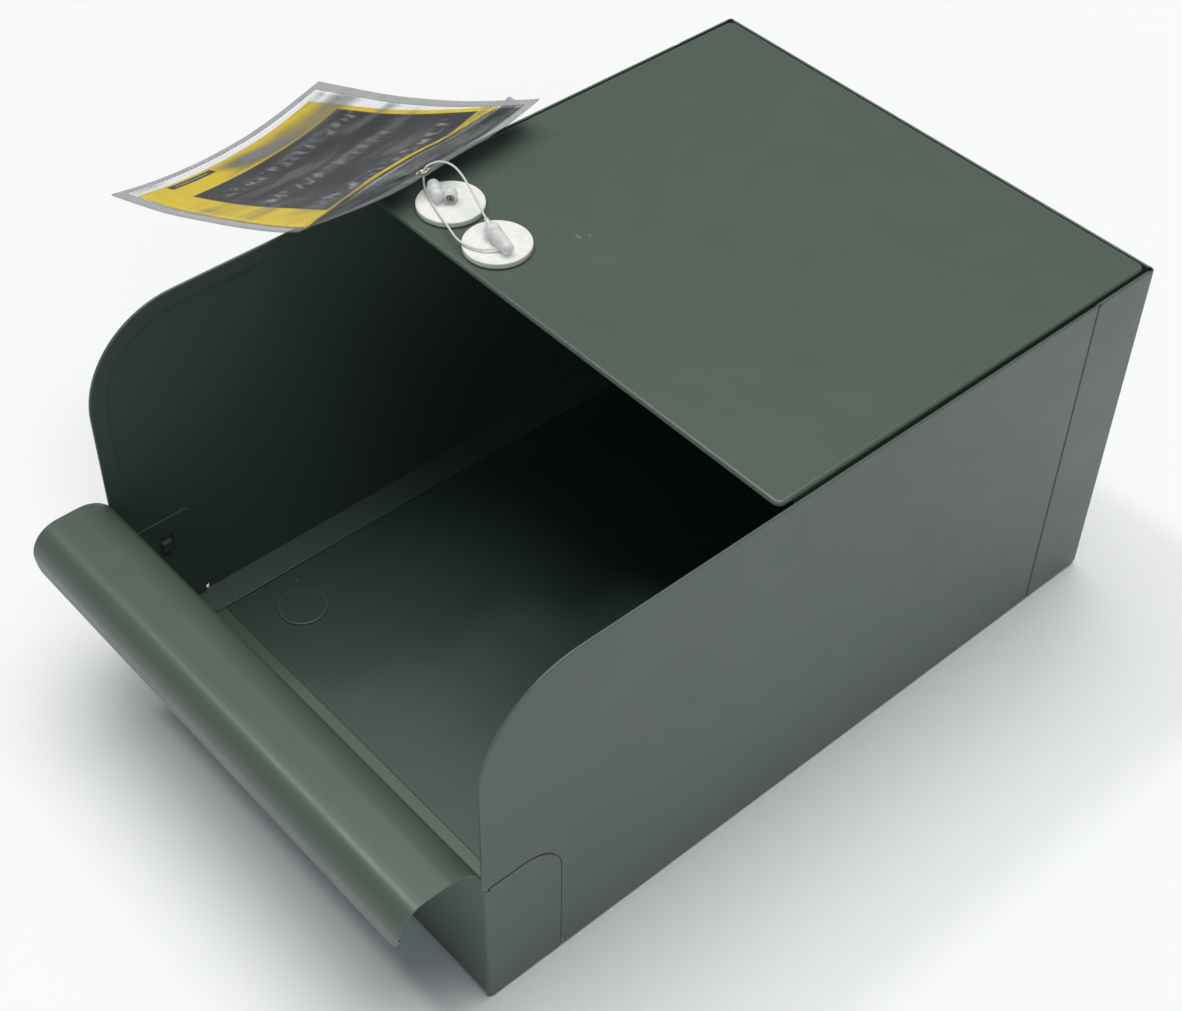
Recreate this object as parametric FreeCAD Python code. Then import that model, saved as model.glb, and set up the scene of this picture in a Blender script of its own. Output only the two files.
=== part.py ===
"""Table-top book drop box: flat-pack sheet steel body, hinged rear lid and a tethered label pocket."""
import FreeCAD, Part
import math
import os

V = FreeCAD.Vector
os.makedirs("parts", exist_ok=True)

# ---------------------------------------------------------------- driving dimensions (mm)
WIDTH = 300.0                # over the outer faces of the side panels
DEPTH = 430.0                # front face to rear face
SHELL_BASE = 1.5             # underside of the floor above the table
SHELL_TOP = 211.0            # top edge of the side and rear panels
SHEET = 0.8                  # steel sheet
BEND_IN = 1.2                # inside radius of a folded corner
GAP = 0.4                    # fitting gap beside a joggled seam
TOP_GAP = 1.0                # gap over the front panel's wraps
REAR_GAP = 1.3               # gap ahead of the rear panel's wraps

FRONT_NOSE = 2.0             # side panels stand this far ahead of the front panel
MOUTH_RADIUS = 54.0          # big corner of each side panel beside the mouth
HEM = 9.0                    # width of a folded-over edge
FLANGE = 19.0                # inward flange along the foot of each side panel
FLANGE_START = 36.0          # front end of that flange
FLANGE_END = 385.0           # its rear end

TAB_DEPTH = 43.5             # how far the front and rear panels wrap round the sides
TAB_TOP = 88.0               # top of the front panel's wrap
TAB_CORNER = 22.5            # rear top corner of that wrap

LIP_WIDTH = 296.0            # the rolled lip of the front panel
LIP_TOP = 108.5              # its highest point
LIP_REAR_RADIUS = 19.0       # roll from the panel to the flat of the lip
LIP_FRONT_RADIUS = 15.0      # roll from the flat down to the skirt
LIP_REACH = 46.8             # how far the skirt stands in front of the panel
LIP_SKIRT_END = 84.5         # lower edge of the skirt
LIP_HEM = 8.0                # its hem, folded up behind
FLOOR_SEAM = 45.0            # joint between the front panel's flange and the floor pan

FOOT_X = 104.5               # feet and their embossed seats, from the centre line
FOOT_FRONT = 77.0            # front pair
FOOT_REAR = 353.0            # rear pair
SEAT_RADIUS = 13.8           # embossed seat over the floor
SEAT_RISE = 1.2              # how far a seat stands above the floor
FOOT_RADIUS = 11.5           # rubber foot

LID_TOP = 212.4              # top face of the lid
LID_FRONT = 169.6            # front edge of the lid
LID_REAR = 426.6             # rear face of the lid
LID_HALF = 146.4             # half its width
LID_SKIRT = 12.0             # height of its side and rear skirts
LID_CORNER = 4.0             # its corners in plan
LID_BEND_IN = 2.2            # inside radius of its folded edges

HINGE_Y = 421.0              # hinge axis
HINGE_Z = 207.4
HINGE_X = 100.0              # hinge centres, from the centre line
HINGE_EYE = 4.0              # outside radius of the hinge eyes
PIN_RADIUS = 1.5
PIN_CLEARANCE = 0.05
EAR = 1.5                    # thickness of bracket ears
BRACKET_HALF = 12.0          # half width over the body bracket's ears
LUG_HALF = 7.0               # half width over the lid lug's ears
HINGE_NOTCH = 16.0           # half width of the notch in the lid's rear skirt
LID_NOTCH_TOP = 1.2          # how far below the lid's top that notch begins
RIVET_DROPS = (20.0, 35.0)   # bracket rivets below the hinge axis
RIVET_HOLE = 1.65            # radius of their holes

REST_Y = 225.0               # lid rests on the side walls
REST_TOP = 198.6             # upper face of a rest
REST_PAD = 1.5               # rubber pad on it

DISC_RADIUS = 17.85          # round adhesive bases on the lid
DISC_HEIGHT = 3.6
DISC_LEFT = (-111.6, 194.7)
DISC_RIGHT = (-71.1, 191.7)

EYELET = V(-130.4, 192.8, 224.0)   # centre of the label pocket's eyelet
POCKET_TURN = 4.5            # the pocket's heading, degrees from the lid's edge
POCKET_HALF = 80.0           # half its width
POCKET_LENGTH = 196.0        # eyelet to its free edge
HEADER = 5.5                 # eyelet to its tethered edge
POCKET_SLOPE = (29.5, 16.8)  # droop at the eyelet and at the free edge, degrees
POCKET_TROUGH = (5.5, 10.6)  # rise of its long sides at the two ends
FILM = 0.35                  # vinyl film
CARD = 0.4                   # card inside

LOOP_RADIUS = 0.55           # elastic loop

# ---------------------------------------------------------------- worked-out places
HALF = WIDTH / 2.0
FLOOR_TOP = SHELL_BASE + SHEET
INNER = HALF - SHEET                      # inner face of a side panel
JOGGLE_INNER = HALF - 2.0 * SHEET         # inner face where it steps in behind a wrap
REAR_INNER = DEPTH - SHEET


# ---------------------------------------------------------------- building blocks
def box(x0, x1, y0, y1, z0, z1):
    """A block between two corners."""
    return Part.makeBox(x1 - x0, y1 - y0, z1 - z0, V(x0, y0, z0))


def rounded_wire(points, radii, place):
    """A closed outline of straight runs with an arc at every corner that has a radius."""
    count = len(points)
    starts = []
    edges = []
    for index in range(count):
        corner = V(points[index][0], points[index][1], 0)
        before = V(points[index - 1][0], points[index - 1][1], 0)
        after = V(points[(index + 1) % count][0], points[(index + 1) % count][1], 0)
        arrive = (corner - before).normalize()
        leave = (after - corner).normalize()
        turn = arrive.getAngle(leave)
        radius = radii[index]
        if radius <= 0.0 or turn < 1e-6:
            starts.append((corner, corner, None))
            continue
        cut = radius * math.tan(turn / 2.0)
        inward = (leave - arrive).normalize()
        centre = corner + inward * (radius / math.cos(turn / 2.0))
        starts.append((corner - arrive * cut, corner + leave * cut, centre - inward * radius))
    for index in range(count):
        arc_start, arc_end, middle = starts[index]
        next_start = starts[(index + 1) % count][0]
        if middle is not None:
            edges.append(Part.Arc(place(arc_start), place(middle), place(arc_end)).toShape())
        if (next_start - arc_end).Length > 1e-6:
            edges.append(Part.LineSegment(place(arc_end), place(next_start)).toShape())
    return Part.Wire(edges)


def plate(points, radii, axis, start, end):
    """Extrude a rounded outline along an axis; the outline lies in the other two, in X, Y, Z order."""
    places = {
        "x": lambda p: V(start, p.x, p.y),
        "y": lambda p: V(p.x, start, p.y),
        "z": lambda p: V(p.x, p.y, start),
    }
    travel = {"x": V(end - start, 0, 0), "y": V(0, end - start, 0), "z": V(0, 0, end - start)}
    face = Part.Face(rounded_wire(points, radii, places[axis]))
    return face.extrude(travel[axis])


def corner_offsets(path, distance):
    """The path moved sideways by a distance, to its left, with mitred corners."""
    moved = []
    last = len(path) - 1
    for index, point in enumerate(path):
        here = V(point[0], point[1], 0)
        directions = []
        if index > 0:
            directions.append((here - V(path[index - 1][0], path[index - 1][1], 0)).normalize())
        if index < last:
            directions.append((V(path[index + 1][0], path[index + 1][1], 0) - here).normalize())
        normals = [V(-d.y, d.x, 0) for d in directions]
        if len(normals) == 1:
            shift = normals[0] * distance
        else:
            middle = (normals[0] + normals[1]).normalize()
            shift = middle * (distance / middle.dot(normals[0]))
        moved.append((here.x + shift.x, here.y + shift.y))
    return moved


def folded_sheet(path, radii, axis, start, end):
    """Sheet folded along a path; the sheet lies to the path's left, radii are those of each bend's inside."""
    other = corner_offsets(path, SHEET)
    path_radii = []
    other_radii = []
    for index in range(len(path)):
        if radii[index] <= 0.0:
            path_radii.append(0.0)
            other_radii.append(0.0)
            continue
        arrive = V(path[index][0] - path[index - 1][0], path[index][1] - path[index - 1][1], 0)
        leave = V(path[index + 1][0] - path[index][0], path[index + 1][1] - path[index][1], 0)
        turns_left = arrive.cross(leave).z > 0
        path_radii.append(radii[index] + SHEET if turns_left else radii[index])
        other_radii.append(radii[index] if turns_left else radii[index] + SHEET)
    outline = path + other[::-1]
    return plate(outline, path_radii + other_radii[::-1], axis, start, end)


def mirrored(shape):
    """The same piece on the other side of the centre line."""
    return shape.mirror(V(0, 0, 0), V(1, 0, 0))


def cylinder(radius, start, end):
    """A round bar between two points."""
    axis = end - start
    return Part.makeCylinder(radius, axis.Length, start, axis)


def capsule(radius, start, end):
    """A round-ended bar between the centres of its two ends."""
    shape = cylinder(radius, start, end)
    for centre in (start, end):
        shape = shape.fuse(Part.makeSphere(radius, centre))
    return shape.removeSplitter()


def export(shape, name):
    """Write one piece and print what it is."""
    solids = shape.Solids
    print(f"{name:26s} solids {len(solids)}  valid {shape.isValid()}  volume {shape.Volume / 1000.0:9.3f} cm3")
    whole = solids[0] if len(solids) == 1 else Part.makeCompound(solids)
    whole.exportStep(f"parts/{name}.step")


# ---------------------------------------------------------------- steel body
FRONT_WINDOWS = ((10.5, 23.1), (45.0, 59.1))               # heights of the lock plates' windows
REAR_WINDOWS = ((18.0, 32.0), (88.0, 102.0), (158.0, 172.0))
WINDOW_HALF = 4.3
FRONT_WINDOW_Y = 25.0
REAR_WINDOW_Y = DEPTH - 25.0
REAR_END = REAR_INNER - BEND_IN - 0.2                      # rear edge of the side panels' joggle
FRONT_END = SHEET + BEND_IN + 0.2                          # front edge of their joggle
WRAP_START = DEPTH - TAB_DEPTH                             # front edge of the rear panel's wrap


def side_outline(inset):
    """Outline of a side panel above its joggle, moved in by a distance at the front and top."""
    return [
        (inset - FRONT_NOSE, FLOOR_TOP),
        (inset - FRONT_NOSE, SHELL_TOP - inset),
        (REAR_END, SHELL_TOP - inset),
        (REAR_END, FLOOR_TOP),
    ]


def is_fold_line(edge):
    """True for the two long edges of a side panel's hem, at the mouth and along the top."""
    span = edge.BoundBox
    return span.XLength < 1e-6 and span.YMax < REAR_END + 1e-6 and span.ZMax > FLOOR_TOP + 1.0 \
        and span.YMin < REAR_END - 1.0


def front_step_outline(grow):
    """Outline of the side panel's joggle behind the front wrap, grown by a margin."""
    return [
        (FRONT_END, FLOOR_TOP),
        (FRONT_END, TAB_TOP + grow),
        (TAB_DEPTH + grow, TAB_TOP + grow),
        (TAB_DEPTH + grow, FLOOR_TOP),
    ]


def rear_step_outline(grow):
    """Outline of the side panel's joggle behind the rear wrap, grown by a margin at its front."""
    return [
        (WRAP_START - grow, FLOOR_TOP),
        (WRAP_START - grow, SHELL_TOP),
        (REAR_END, SHELL_TOP),
        (REAR_END, FLOOR_TOP),
    ]


def step_plate(outline_of, corner_of):
    """A sheet pressed one thickness inwards, with the sloping rim of a joggle."""
    start = GAP + 2.0
    end = GAP + 0.5
    low = rounded_wire(outline_of(start), corner_of(start), lambda p: V(-INNER, p.x, p.y))
    high = rounded_wire(outline_of(end), corner_of(end), lambda p: V(-JOGGLE_INNER, p.x, p.y))
    return Part.makeLoft([low, high], True, True)


def lance_hook(middle, window):
    """A hook pressed out of the joggle into a lock plate's window."""
    root = window[0] + 2.0
    rise = 9.0
    reach = 1.5
    profile = [
        (-JOGGLE_INNER - 0.2, root),
        (-JOGGLE_INNER - 0.2, root + rise),
        (-JOGGLE_INNER + reach, root + rise - 2.0),
        (-JOGGLE_INNER + reach, root + 0.6),
    ]
    return plate(profile, [0, 0, 0.5, 0.3], "y", middle - 2.6, middle + 2.6)


def side_panel_left():
    """Left side panel: hemmed front and top edges, two joggles, a foot flange and its hooks."""
    hemmed = plate(side_outline(0.0), [0, MOUTH_RADIUS, 0, 0], "x", -HALF, -JOGGLE_INNER)
    hemmed = hemmed.makeFillet(0.75, [edge for edge in hemmed.Edges if is_fold_line(edge)])
    inside = plate(side_outline(HEM), [0, MOUTH_RADIUS - HEM, 0, 0], "x", -INNER, -JOGGLE_INNER + 1.0)
    below = box(-INNER, -JOGGLE_INNER + 1.0, -FRONT_NOSE - 1.0, DEPTH, 0.0, TAB_TOP + 2.4)
    behind = box(-INNER, -JOGGLE_INNER + 1.0, WRAP_START - 2.0, DEPTH, 0.0, SHELL_TOP + 1.0)
    shape = hemmed.cut(inside).cut(below).cut(behind)

    front_pocket = plate(
        [(-5.0, 0.0), (-5.0, TAB_TOP + TOP_GAP), (TAB_DEPTH + GAP, TAB_TOP + TOP_GAP), (TAB_DEPTH + GAP, 0.0)],
        [0, 0, TAB_CORNER + GAP, 0], "x", -HALF - 1.0, -INNER)
    rear_pocket = box(-HALF - 1.0, -INNER, WRAP_START - REAR_GAP, DEPTH, 0.0, SHELL_TOP + 1.0)
    shape = shape.cut(front_pocket).cut(rear_pocket)
    shape = shape.fuse(step_plate(front_step_outline, lambda grow: [0, 0, TAB_CORNER + grow, 0]))
    shape = shape.fuse(step_plate(rear_step_outline, lambda grow: [0, 0, 3.0, 0]))

    inner_edge = -HALF + FLANGE
    flange = plate(
        [(-HALF, FLANGE_START), (inner_edge, FLANGE_START), (inner_edge, FLANGE_END), (-HALF, FLANGE_END)],
        [0, 6.0, 6.0, 0], "z", FLOOR_TOP, FLOOR_TOP + SHEET)
    beside_wrap = box(-HALF - 1.0, -INNER, 0.0, TAB_DEPTH + GAP, 0.0, 10.0)
    bead = box(inner_edge - 3.2, inner_edge, TAB_DEPTH + 1.5, FLANGE_END - 8.0,
               FLOOR_TOP + 0.5 * SHEET, FLOOR_TOP + 1.7 * SHEET)
    bead = bead.makeFillet(0.4, [edge for edge in bead.Edges if edge.BoundBox.YLength > 10.0])
    shape = shape.fuse(flange.cut(beside_wrap)).fuse(bead)
    relief = box(-HALF - 1.0, -JOGGLE_INNER + 2.0, TAB_DEPTH + 0.6, TAB_DEPTH + 2.8, FLOOR_TOP + SHEET, 6.6)
    shape = shape.cut(relief)
    for window in FRONT_WINDOWS:
        shape = shape.fuse(lance_hook(FRONT_WINDOW_Y, window))
    for window in REAR_WINDOWS:
        shape = shape.fuse(lance_hook(REAR_WINDOW_Y, window))
    return shape.removeSplitter()


def front_panel():
    """Front panel: bottom flange, face, rolled lip with a hemmed skirt, and a wrap round each side."""
    inside_face = [
        (FLOOR_SEAM - 0.3, FLOOR_TOP),
        (SHEET, FLOOR_TOP),
        (SHEET, LIP_TOP),
        (-LIP_REACH, LIP_TOP),
        (-LIP_REACH, LIP_SKIRT_END),
    ]
    half = LIP_WIDTH / 2.0
    rolled = folded_sheet(inside_face, [0, BEND_IN, LIP_REAR_RADIUS, LIP_FRONT_RADIUS, 0], "x", -half, half)
    hem = box(-half, half, -LIP_REACH + SHEET, -LIP_REACH + 2.0 * SHEET, LIP_SKIRT_END, LIP_SKIRT_END + LIP_HEM)
    rolled = rolled.fuse(hem).removeSplitter()
    skirt_edges = [edge for edge in rolled.Edges
                   if edge.BoundBox.ZMax < LIP_SKIRT_END + 1e-6 and edge.BoundBox.YMax < -LIP_REACH + 2.0
                   and edge.BoundBox.XLength > 10.0]
    rolled = rolled.makeFillet(0.7, skirt_edges)
    for side in (-1, 1):
        corner = [(0.0, 0.0), (0.0, 9.0), (5.0, 9.0), (5.0, -5.0), (-9.0, -5.0), (-9.0, 0.0)]
        outline = [(side * (half + x), LIP_SKIRT_END + z) for x, z in corner]
        end = plate(outline, [8.5, 0, 0, 0, 0, 0], "y", -LIP_REACH - 2.0, -LIP_REACH + 4.0)
        rolled = rolled.cut(end)

    wraps = folded_sheet(
        [(-HALF, TAB_DEPTH), (-HALF, 0.0), (HALF, 0.0), (HALF, TAB_DEPTH)], [0, BEND_IN, BEND_IN, 0],
        "z", SHELL_BASE, TAB_TOP)
    wraps = wraps.common(plate(
        [(-1.0, SHELL_BASE), (-1.0, TAB_TOP), (TAB_DEPTH, TAB_TOP), (TAB_DEPTH, SHELL_BASE)],
        [0, 0, TAB_CORNER, 2.0], "x", -HALF - 1.0, HALF + 1.0))
    wraps = wraps.cut(box(-half, half, -1.0, SHEET + 1.0, 0.0, SHELL_BASE + 2.2))
    for side in (-1, 1):
        wraps = wraps.cut(Part.makeCylinder(1.6, 4.0, V(side * (HALF - 0.6), 0.6, TAB_TOP - 2.0)))
    return rolled.fuse(wraps).removeSplitter()


def rear_panel():
    """Rear panel: back, a full-height wrap round each side, a hemmed top and a bottom flange."""
    wraps = folded_sheet(
        [(HALF, WRAP_START), (HALF, DEPTH), (-HALF, DEPTH), (-HALF, WRAP_START)], [0, BEND_IN, BEND_IN, 0],
        "z", FLOOR_TOP, SHELL_TOP)
    wraps = wraps.common(plate(
        [(WRAP_START, FLOOR_TOP), (WRAP_START, SHELL_TOP), (DEPTH + 1.0, SHELL_TOP), (DEPTH + 1.0, FLOOR_TOP)],
        [2.0, 4.0, 0, 0], "x", -HALF - 1.0, HALF + 1.0))
    half = JOGGLE_INNER - GAP
    wraps = wraps.cut(box(-half, half, REAR_INNER - 2.0, DEPTH + 1.0, 0.0, FLOOR_TOP + 2.2))
    flange = folded_sheet(
        [(DEPTH - FLANGE, FLOOR_TOP), (DEPTH, FLOOR_TOP), (DEPTH, FLOOR_TOP + 12.0)], [0, BEND_IN, 0],
        "x", -half, half)
    hem = box(-half + 1.0, half - 1.0, REAR_INNER - SHEET, REAR_INNER, SHELL_TOP - HEM, SHELL_TOP)
    shape = wraps.fuse(flange).fuse(hem).removeSplitter()
    top_edges = [edge for edge in shape.Edges
                 if edge.BoundBox.ZMin > SHELL_TOP - 1e-6 and edge.BoundBox.XLength > 200.0]
    shape = shape.makeFillet(0.7, top_edges)
    for side in (-1, 1):
        for height in RIVET_DROPS:
            hole = V(side * HINGE_X, DEPTH - 3.0, HINGE_Z - height)
            shape = shape.cut(Part.makeCylinder(RIVET_HOLE, 4.0, hole, V(0, 1, 0)))
    return shape


def lock_plate(y_start, y_end, height, windows, middle, corner):
    """A plate with windows that the side panel's hooks draw tight against the joggle."""
    outline = [
        (y_start, FLOOR_TOP + SHEET + 0.3),
        (y_start, height),
        (y_end, height),
        (y_end, FLOOR_TOP + SHEET + 0.3),
    ]
    shape = plate(outline, [0.5, corner, corner, 0.5], "x", -JOGGLE_INNER, -JOGGLE_INNER + SHEET)
    for low, high in windows:
        shape = shape.cut(box(-HALF, -HALF + 10.0, middle - WINDOW_HALF, middle + WINDOW_HALF, low, high))
    return shape


def floor_pan():
    """Floor with four embossed seats over the feet and a small locating dimple beside each."""
    shape = plate(
        [(-HALF + 0.3, FLOOR_SEAM), (HALF - 0.3, FLOOR_SEAM),
         (HALF - 0.3, DEPTH - 0.3), (-HALF + 0.3, DEPTH - 0.3)],
        [2.0, 2.0, 4.0, 4.0], "z", SHELL_BASE, FLOOR_TOP)
    for x, y in foot_places():
        seat = Part.makeCylinder(SEAT_RADIUS, SEAT_RISE + 0.4, V(x, y, FLOOR_TOP - 0.4))
        rim = [edge for edge in seat.Edges if edge.BoundBox.ZMin > FLOOR_TOP + SEAT_RISE - 1e-6]
        shape = shape.fuse(seat.makeFillet(0.8, rim))
    for x, y in foot_places():
        shape = shape.cut(Part.makeCylinder(SEAT_RADIUS - SHEET, SEAT_RISE, V(x, y, SHELL_BASE)))
        outward = math.copysign(18.0, x)
        shape = shape.cut(Part.makeSphere(2.0, V(x + outward, y + 9.0, FLOOR_TOP + 1.7)))
    return shape.removeSplitter()


def foot_places():
    """Plan positions of the four feet."""
    return [(side * FOOT_X, y) for y in (FOOT_FRONT, FOOT_REAR) for side in (-1, 1)]


def foot(x, y):
    """Round rubber foot seated in the recess under an embossed seat."""
    shape = Part.makeCylinder(FOOT_RADIUS, SHELL_BASE + SEAT_RISE, V(x, y, 0.0))
    lower = [edge for edge in shape.Edges if edge.BoundBox.ZMax < 1e-6]
    return shape.makeFillet(0.6, lower)


# ---------------------------------------------------------------- lid and hinges
def lid():
    """Lid: a shallow tray turned down at its sides and rear, with a hemmed front edge."""
    def tray(inset, radius, bend):
        outline = [
            (-LID_HALF + inset, LID_FRONT + inset), (LID_HALF - inset, LID_FRONT + inset),
            (LID_HALF - inset, LID_REAR - inset), (-LID_HALF + inset, LID_REAR - inset),
        ]
        block = plate(outline, [radius] * 4, "z", LID_TOP - LID_SKIRT - inset, LID_TOP - inset)
        rim = [edge for edge in block.Edges if edge.BoundBox.ZMin > LID_TOP - inset - 1e-6]
        return block.makeFillet(bend, rim)

    shape = tray(0.0, LID_CORNER, LID_BEND_IN + SHEET - 1.0)
    shape = shape.cut(tray(SHEET, LID_CORNER - SHEET, LID_BEND_IN - 1.0))
    front_hem = 10.0
    shape = shape.cut(box(-LID_HALF - 1.0, LID_HALF + 1.0, LID_FRONT - 1.0, LID_FRONT + front_hem,
                          LID_TOP - LID_SKIRT - 2.0, LID_TOP - 2.0))
    shape = shape.fuse(box(-LID_HALF + 3.0, LID_HALF - 3.0, LID_FRONT + 0.6, LID_FRONT + front_hem,
                           LID_TOP - 2.0 * SHEET, LID_TOP - SHEET))
    for side in (-1, 1):
        shape = shape.cut(box(side * HINGE_X - HINGE_NOTCH, side * HINGE_X + HINGE_NOTCH, LID_REAR - 1.5,
                              LID_REAR + 1.0, LID_TOP - LID_SKIRT - 2.0, LID_TOP - LID_NOTCH_TOP))
    return shape.removeSplitter()


def hinge_plate(points, x_start, x_end, hole):
    """A bracket ear with a round eye on the hinge axis and a hole through it."""
    outline = [(HINGE_Y + y, HINGE_Z + z) for y, z in points]
    ear = plate(outline, [0] * len(points), "x", x_start, x_end)
    width = x_end - x_start
    ear = ear.fuse(Part.makeCylinder(HINGE_EYE, width, V(x_start, HINGE_Y, HINGE_Z), V(1, 0, 0)))
    return ear.cut(Part.makeCylinder(hole, width + 2.0, V(x_start - 1.0, HINGE_Y, HINGE_Z), V(1, 0, 0)))


def hinge_bracket(centre):
    """Channel bracket fixed to the rear panel; its two goosenecked ears carry the pin clear of the lid."""
    wall = REAR_INNER - HINGE_Y - 0.9
    ear_points = [
        (-3.8, 0.0), (-3.8, -14.0), (wall - 2.4, -38.0), (wall, -38.0),
        (wall, -13.0), (0.2, -9.5), (0.2, 0.0),
    ]
    base_y = REAR_INNER - 1.2
    shape = box(centre - BRACKET_HALF, centre + BRACKET_HALF, base_y, REAR_INNER,
                HINGE_Z - 42.0, HINGE_Z - 12.0)
    for start in (centre - BRACKET_HALF, centre + BRACKET_HALF - EAR):
        shape = shape.fuse(hinge_plate(ear_points, start, start + EAR, PIN_RADIUS + 0.02))
    for height in RIVET_DROPS:
        hole = V(centre, REAR_INNER - 4.0, HINGE_Z - height)
        shape = shape.cut(Part.makeCylinder(RIVET_HOLE, 6.0, hole, V(0, 1, 0)))
    return shape.removeSplitter()


def hinge_lug(centre):
    """Channel lug welded under the lid; its two ears turn on the pin."""
    under = LID_TOP - SHEET
    rise = under - HINGE_Z - 0.2
    ear_points = [(-9.0, rise), (-3.8, 0.0), (3.8, 0.0), (2.6, rise)]
    shape = box(centre - LUG_HALF, centre + LUG_HALF, HINGE_Y - 9.0, HINGE_Y + 2.6, under - 1.2, under)
    for start in (centre - LUG_HALF, centre + LUG_HALF - EAR):
        shape = shape.fuse(hinge_plate(ear_points, start, start + EAR, PIN_RADIUS + PIN_CLEARANCE))
    return shape.removeSplitter()


def hinge_pin(centre):
    """Headed pin through both ears of a body bracket."""
    head = 0.8
    half = BRACKET_HALF + 0.1
    shape = Part.makeCylinder(PIN_RADIUS, 2.0 * half, V(centre - half, HINGE_Y, HINGE_Z), V(1, 0, 0))
    for start in (centre - half - head, centre + half):
        shape = shape.fuse(Part.makeCylinder(2.6, head, V(start, HINGE_Y, HINGE_Z), V(1, 0, 0)))
    return shape.removeSplitter()


def bracket_rivets():
    """Domed rivets that hold both hinge brackets to the rear panel."""
    rivets = []
    for side in (-1, 1):
        for height in RIVET_DROPS:
            at = V(side * HINGE_X, 0, HINGE_Z - height)
            shank = Part.makeCylinder(1.6, 2.0, V(at.x, REAR_INNER - 1.2, at.z), V(0, 1, 0))
            dome = Part.makeSphere(4.2, V(at.x, DEPTH - 2.9, at.z))
            dome = dome.common(box(at.x - 5, at.x + 5, DEPTH, DEPTH + 5, at.z - 5, at.z + 5))
            tail = Part.makeCylinder(2.4, 0.7, V(at.x, REAR_INNER - 1.9, at.z), V(0, 1, 0))
            rivets.append(shank.fuse(dome).fuse(tail).removeSplitter())
    return Part.makeCompound(rivets)


def lid_rest():
    """Angle welded to the left wall that carries the lid's skirt through a pad."""
    y0 = REST_Y - 10.0
    y1 = REST_Y + 10.0
    upright = box(-INNER, -INNER + 1.2, y0, y1, REST_TOP - 18.0, REST_TOP)
    shelf = box(-INNER, -INNER + 9.5, y0, y1, REST_TOP - 1.2, REST_TOP)
    return upright.fuse(shelf).removeSplitter()


def lid_rest_pad():
    """Rubber pad on a lid rest."""
    return box(-INNER + 1.6, -INNER + 8.6, REST_Y - 8.0, REST_Y + 8.0, REST_TOP, REST_TOP + REST_PAD)


# ---------------------------------------------------------------- label pocket and its tether
def base_disc(place):
    """Round adhesive base on the lid."""
    shape = Part.makeCylinder(DISC_RADIUS, DISC_HEIGHT, V(place[0], place[1], LID_TOP))
    return shape.makeFillet(0.7, [edge for edge in shape.Edges if edge.BoundBox.ZMin > LID_TOP + 1.0])


CLIP_FLOOR = LID_TOP + DISC_HEIGHT
LOOP_ROUTE = [
    V(-82.05, 193.57, 223.05), V(-91.2, 195.7, 226.9), V(-103.0, 199.4, 229.2), V(-113.0, 202.4, 229.7),
    V(-121.2, 203.6, 229.4), V(-127.0, 201.6, 229.0), V(-129.6, 197.6, 228.2), V(-130.7, 193.4, 226.6),
    V(-130.2, 192.2, 219.6), V(-127.2, 190.4, 217.3), V(-119.6, 187.4, 217.3), V(-106.5, 182.9, 217.2),
    V(-94.0, 179.6, 217.0), V(-85.8, 177.2, 217.0), V(-79.8, 176.6, 217.2), V(-73.6, 178.2, 217.2),
    V(-67.9, 181.8, 217.5), V(-64.9, 186.6, 218.0),
]


def clip_left():
    """Clear tether clip: a ball on a stub and a long barrel that reaches towards the eyelet."""
    x, y = DISC_LEFT
    shape = Part.makeCylinder(3.4, 1.4, V(x - 1.0, y + 1.0, CLIP_FLOOR))
    shape = shape.fuse(Part.makeSphere(3.2, V(x - 1.0, y + 1.0, CLIP_FLOOR + 3.2)))
    strut = capsule(1.3, V(x - 1.0, y + 0.5, CLIP_FLOOR + 3.6), V(x - 5.0, y - 3.8, CLIP_FLOOR + 3.6))
    shape = shape.fuse(strut)
    barrel = capsule(2.3, V(x - 1.8, y - 5.5, CLIP_FLOOR + 3.0), V(x - 10.2, y - 2.7, CLIP_FLOOR + 4.6))
    return shape.fuse(barrel).removeSplitter()


def clip_right():
    """Clear tether clip: a barrel lying across its base and a tapered mouth for the elastic."""
    x, y = DISC_RIGHT
    shape = Part.makeCylinder(3.6, 1.4, V(x, y, CLIP_FLOOR))
    barrel = capsule(2.7, V(x - 5.0, y + 0.6, CLIP_FLOOR + 4.4), V(x + 11.0, y - 2.6, CLIP_FLOOR + 2.8))
    mouth = (LOOP_ROUTE[1] - LOOP_ROUTE[0]).normalize()
    neck = Part.makeCone(2.0, 1.1, 6.0, LOOP_ROUTE[0] - mouth * 6.0, mouth)
    socket = cylinder(1.1, LOOP_ROUTE[-1], LOOP_ROUTE[-1] + (LOOP_ROUTE[-1] - LOOP_ROUTE[-2]).normalize() * 3.0)
    return shape.fuse(barrel).fuse(neck).fuse(socket).removeSplitter()



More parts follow.
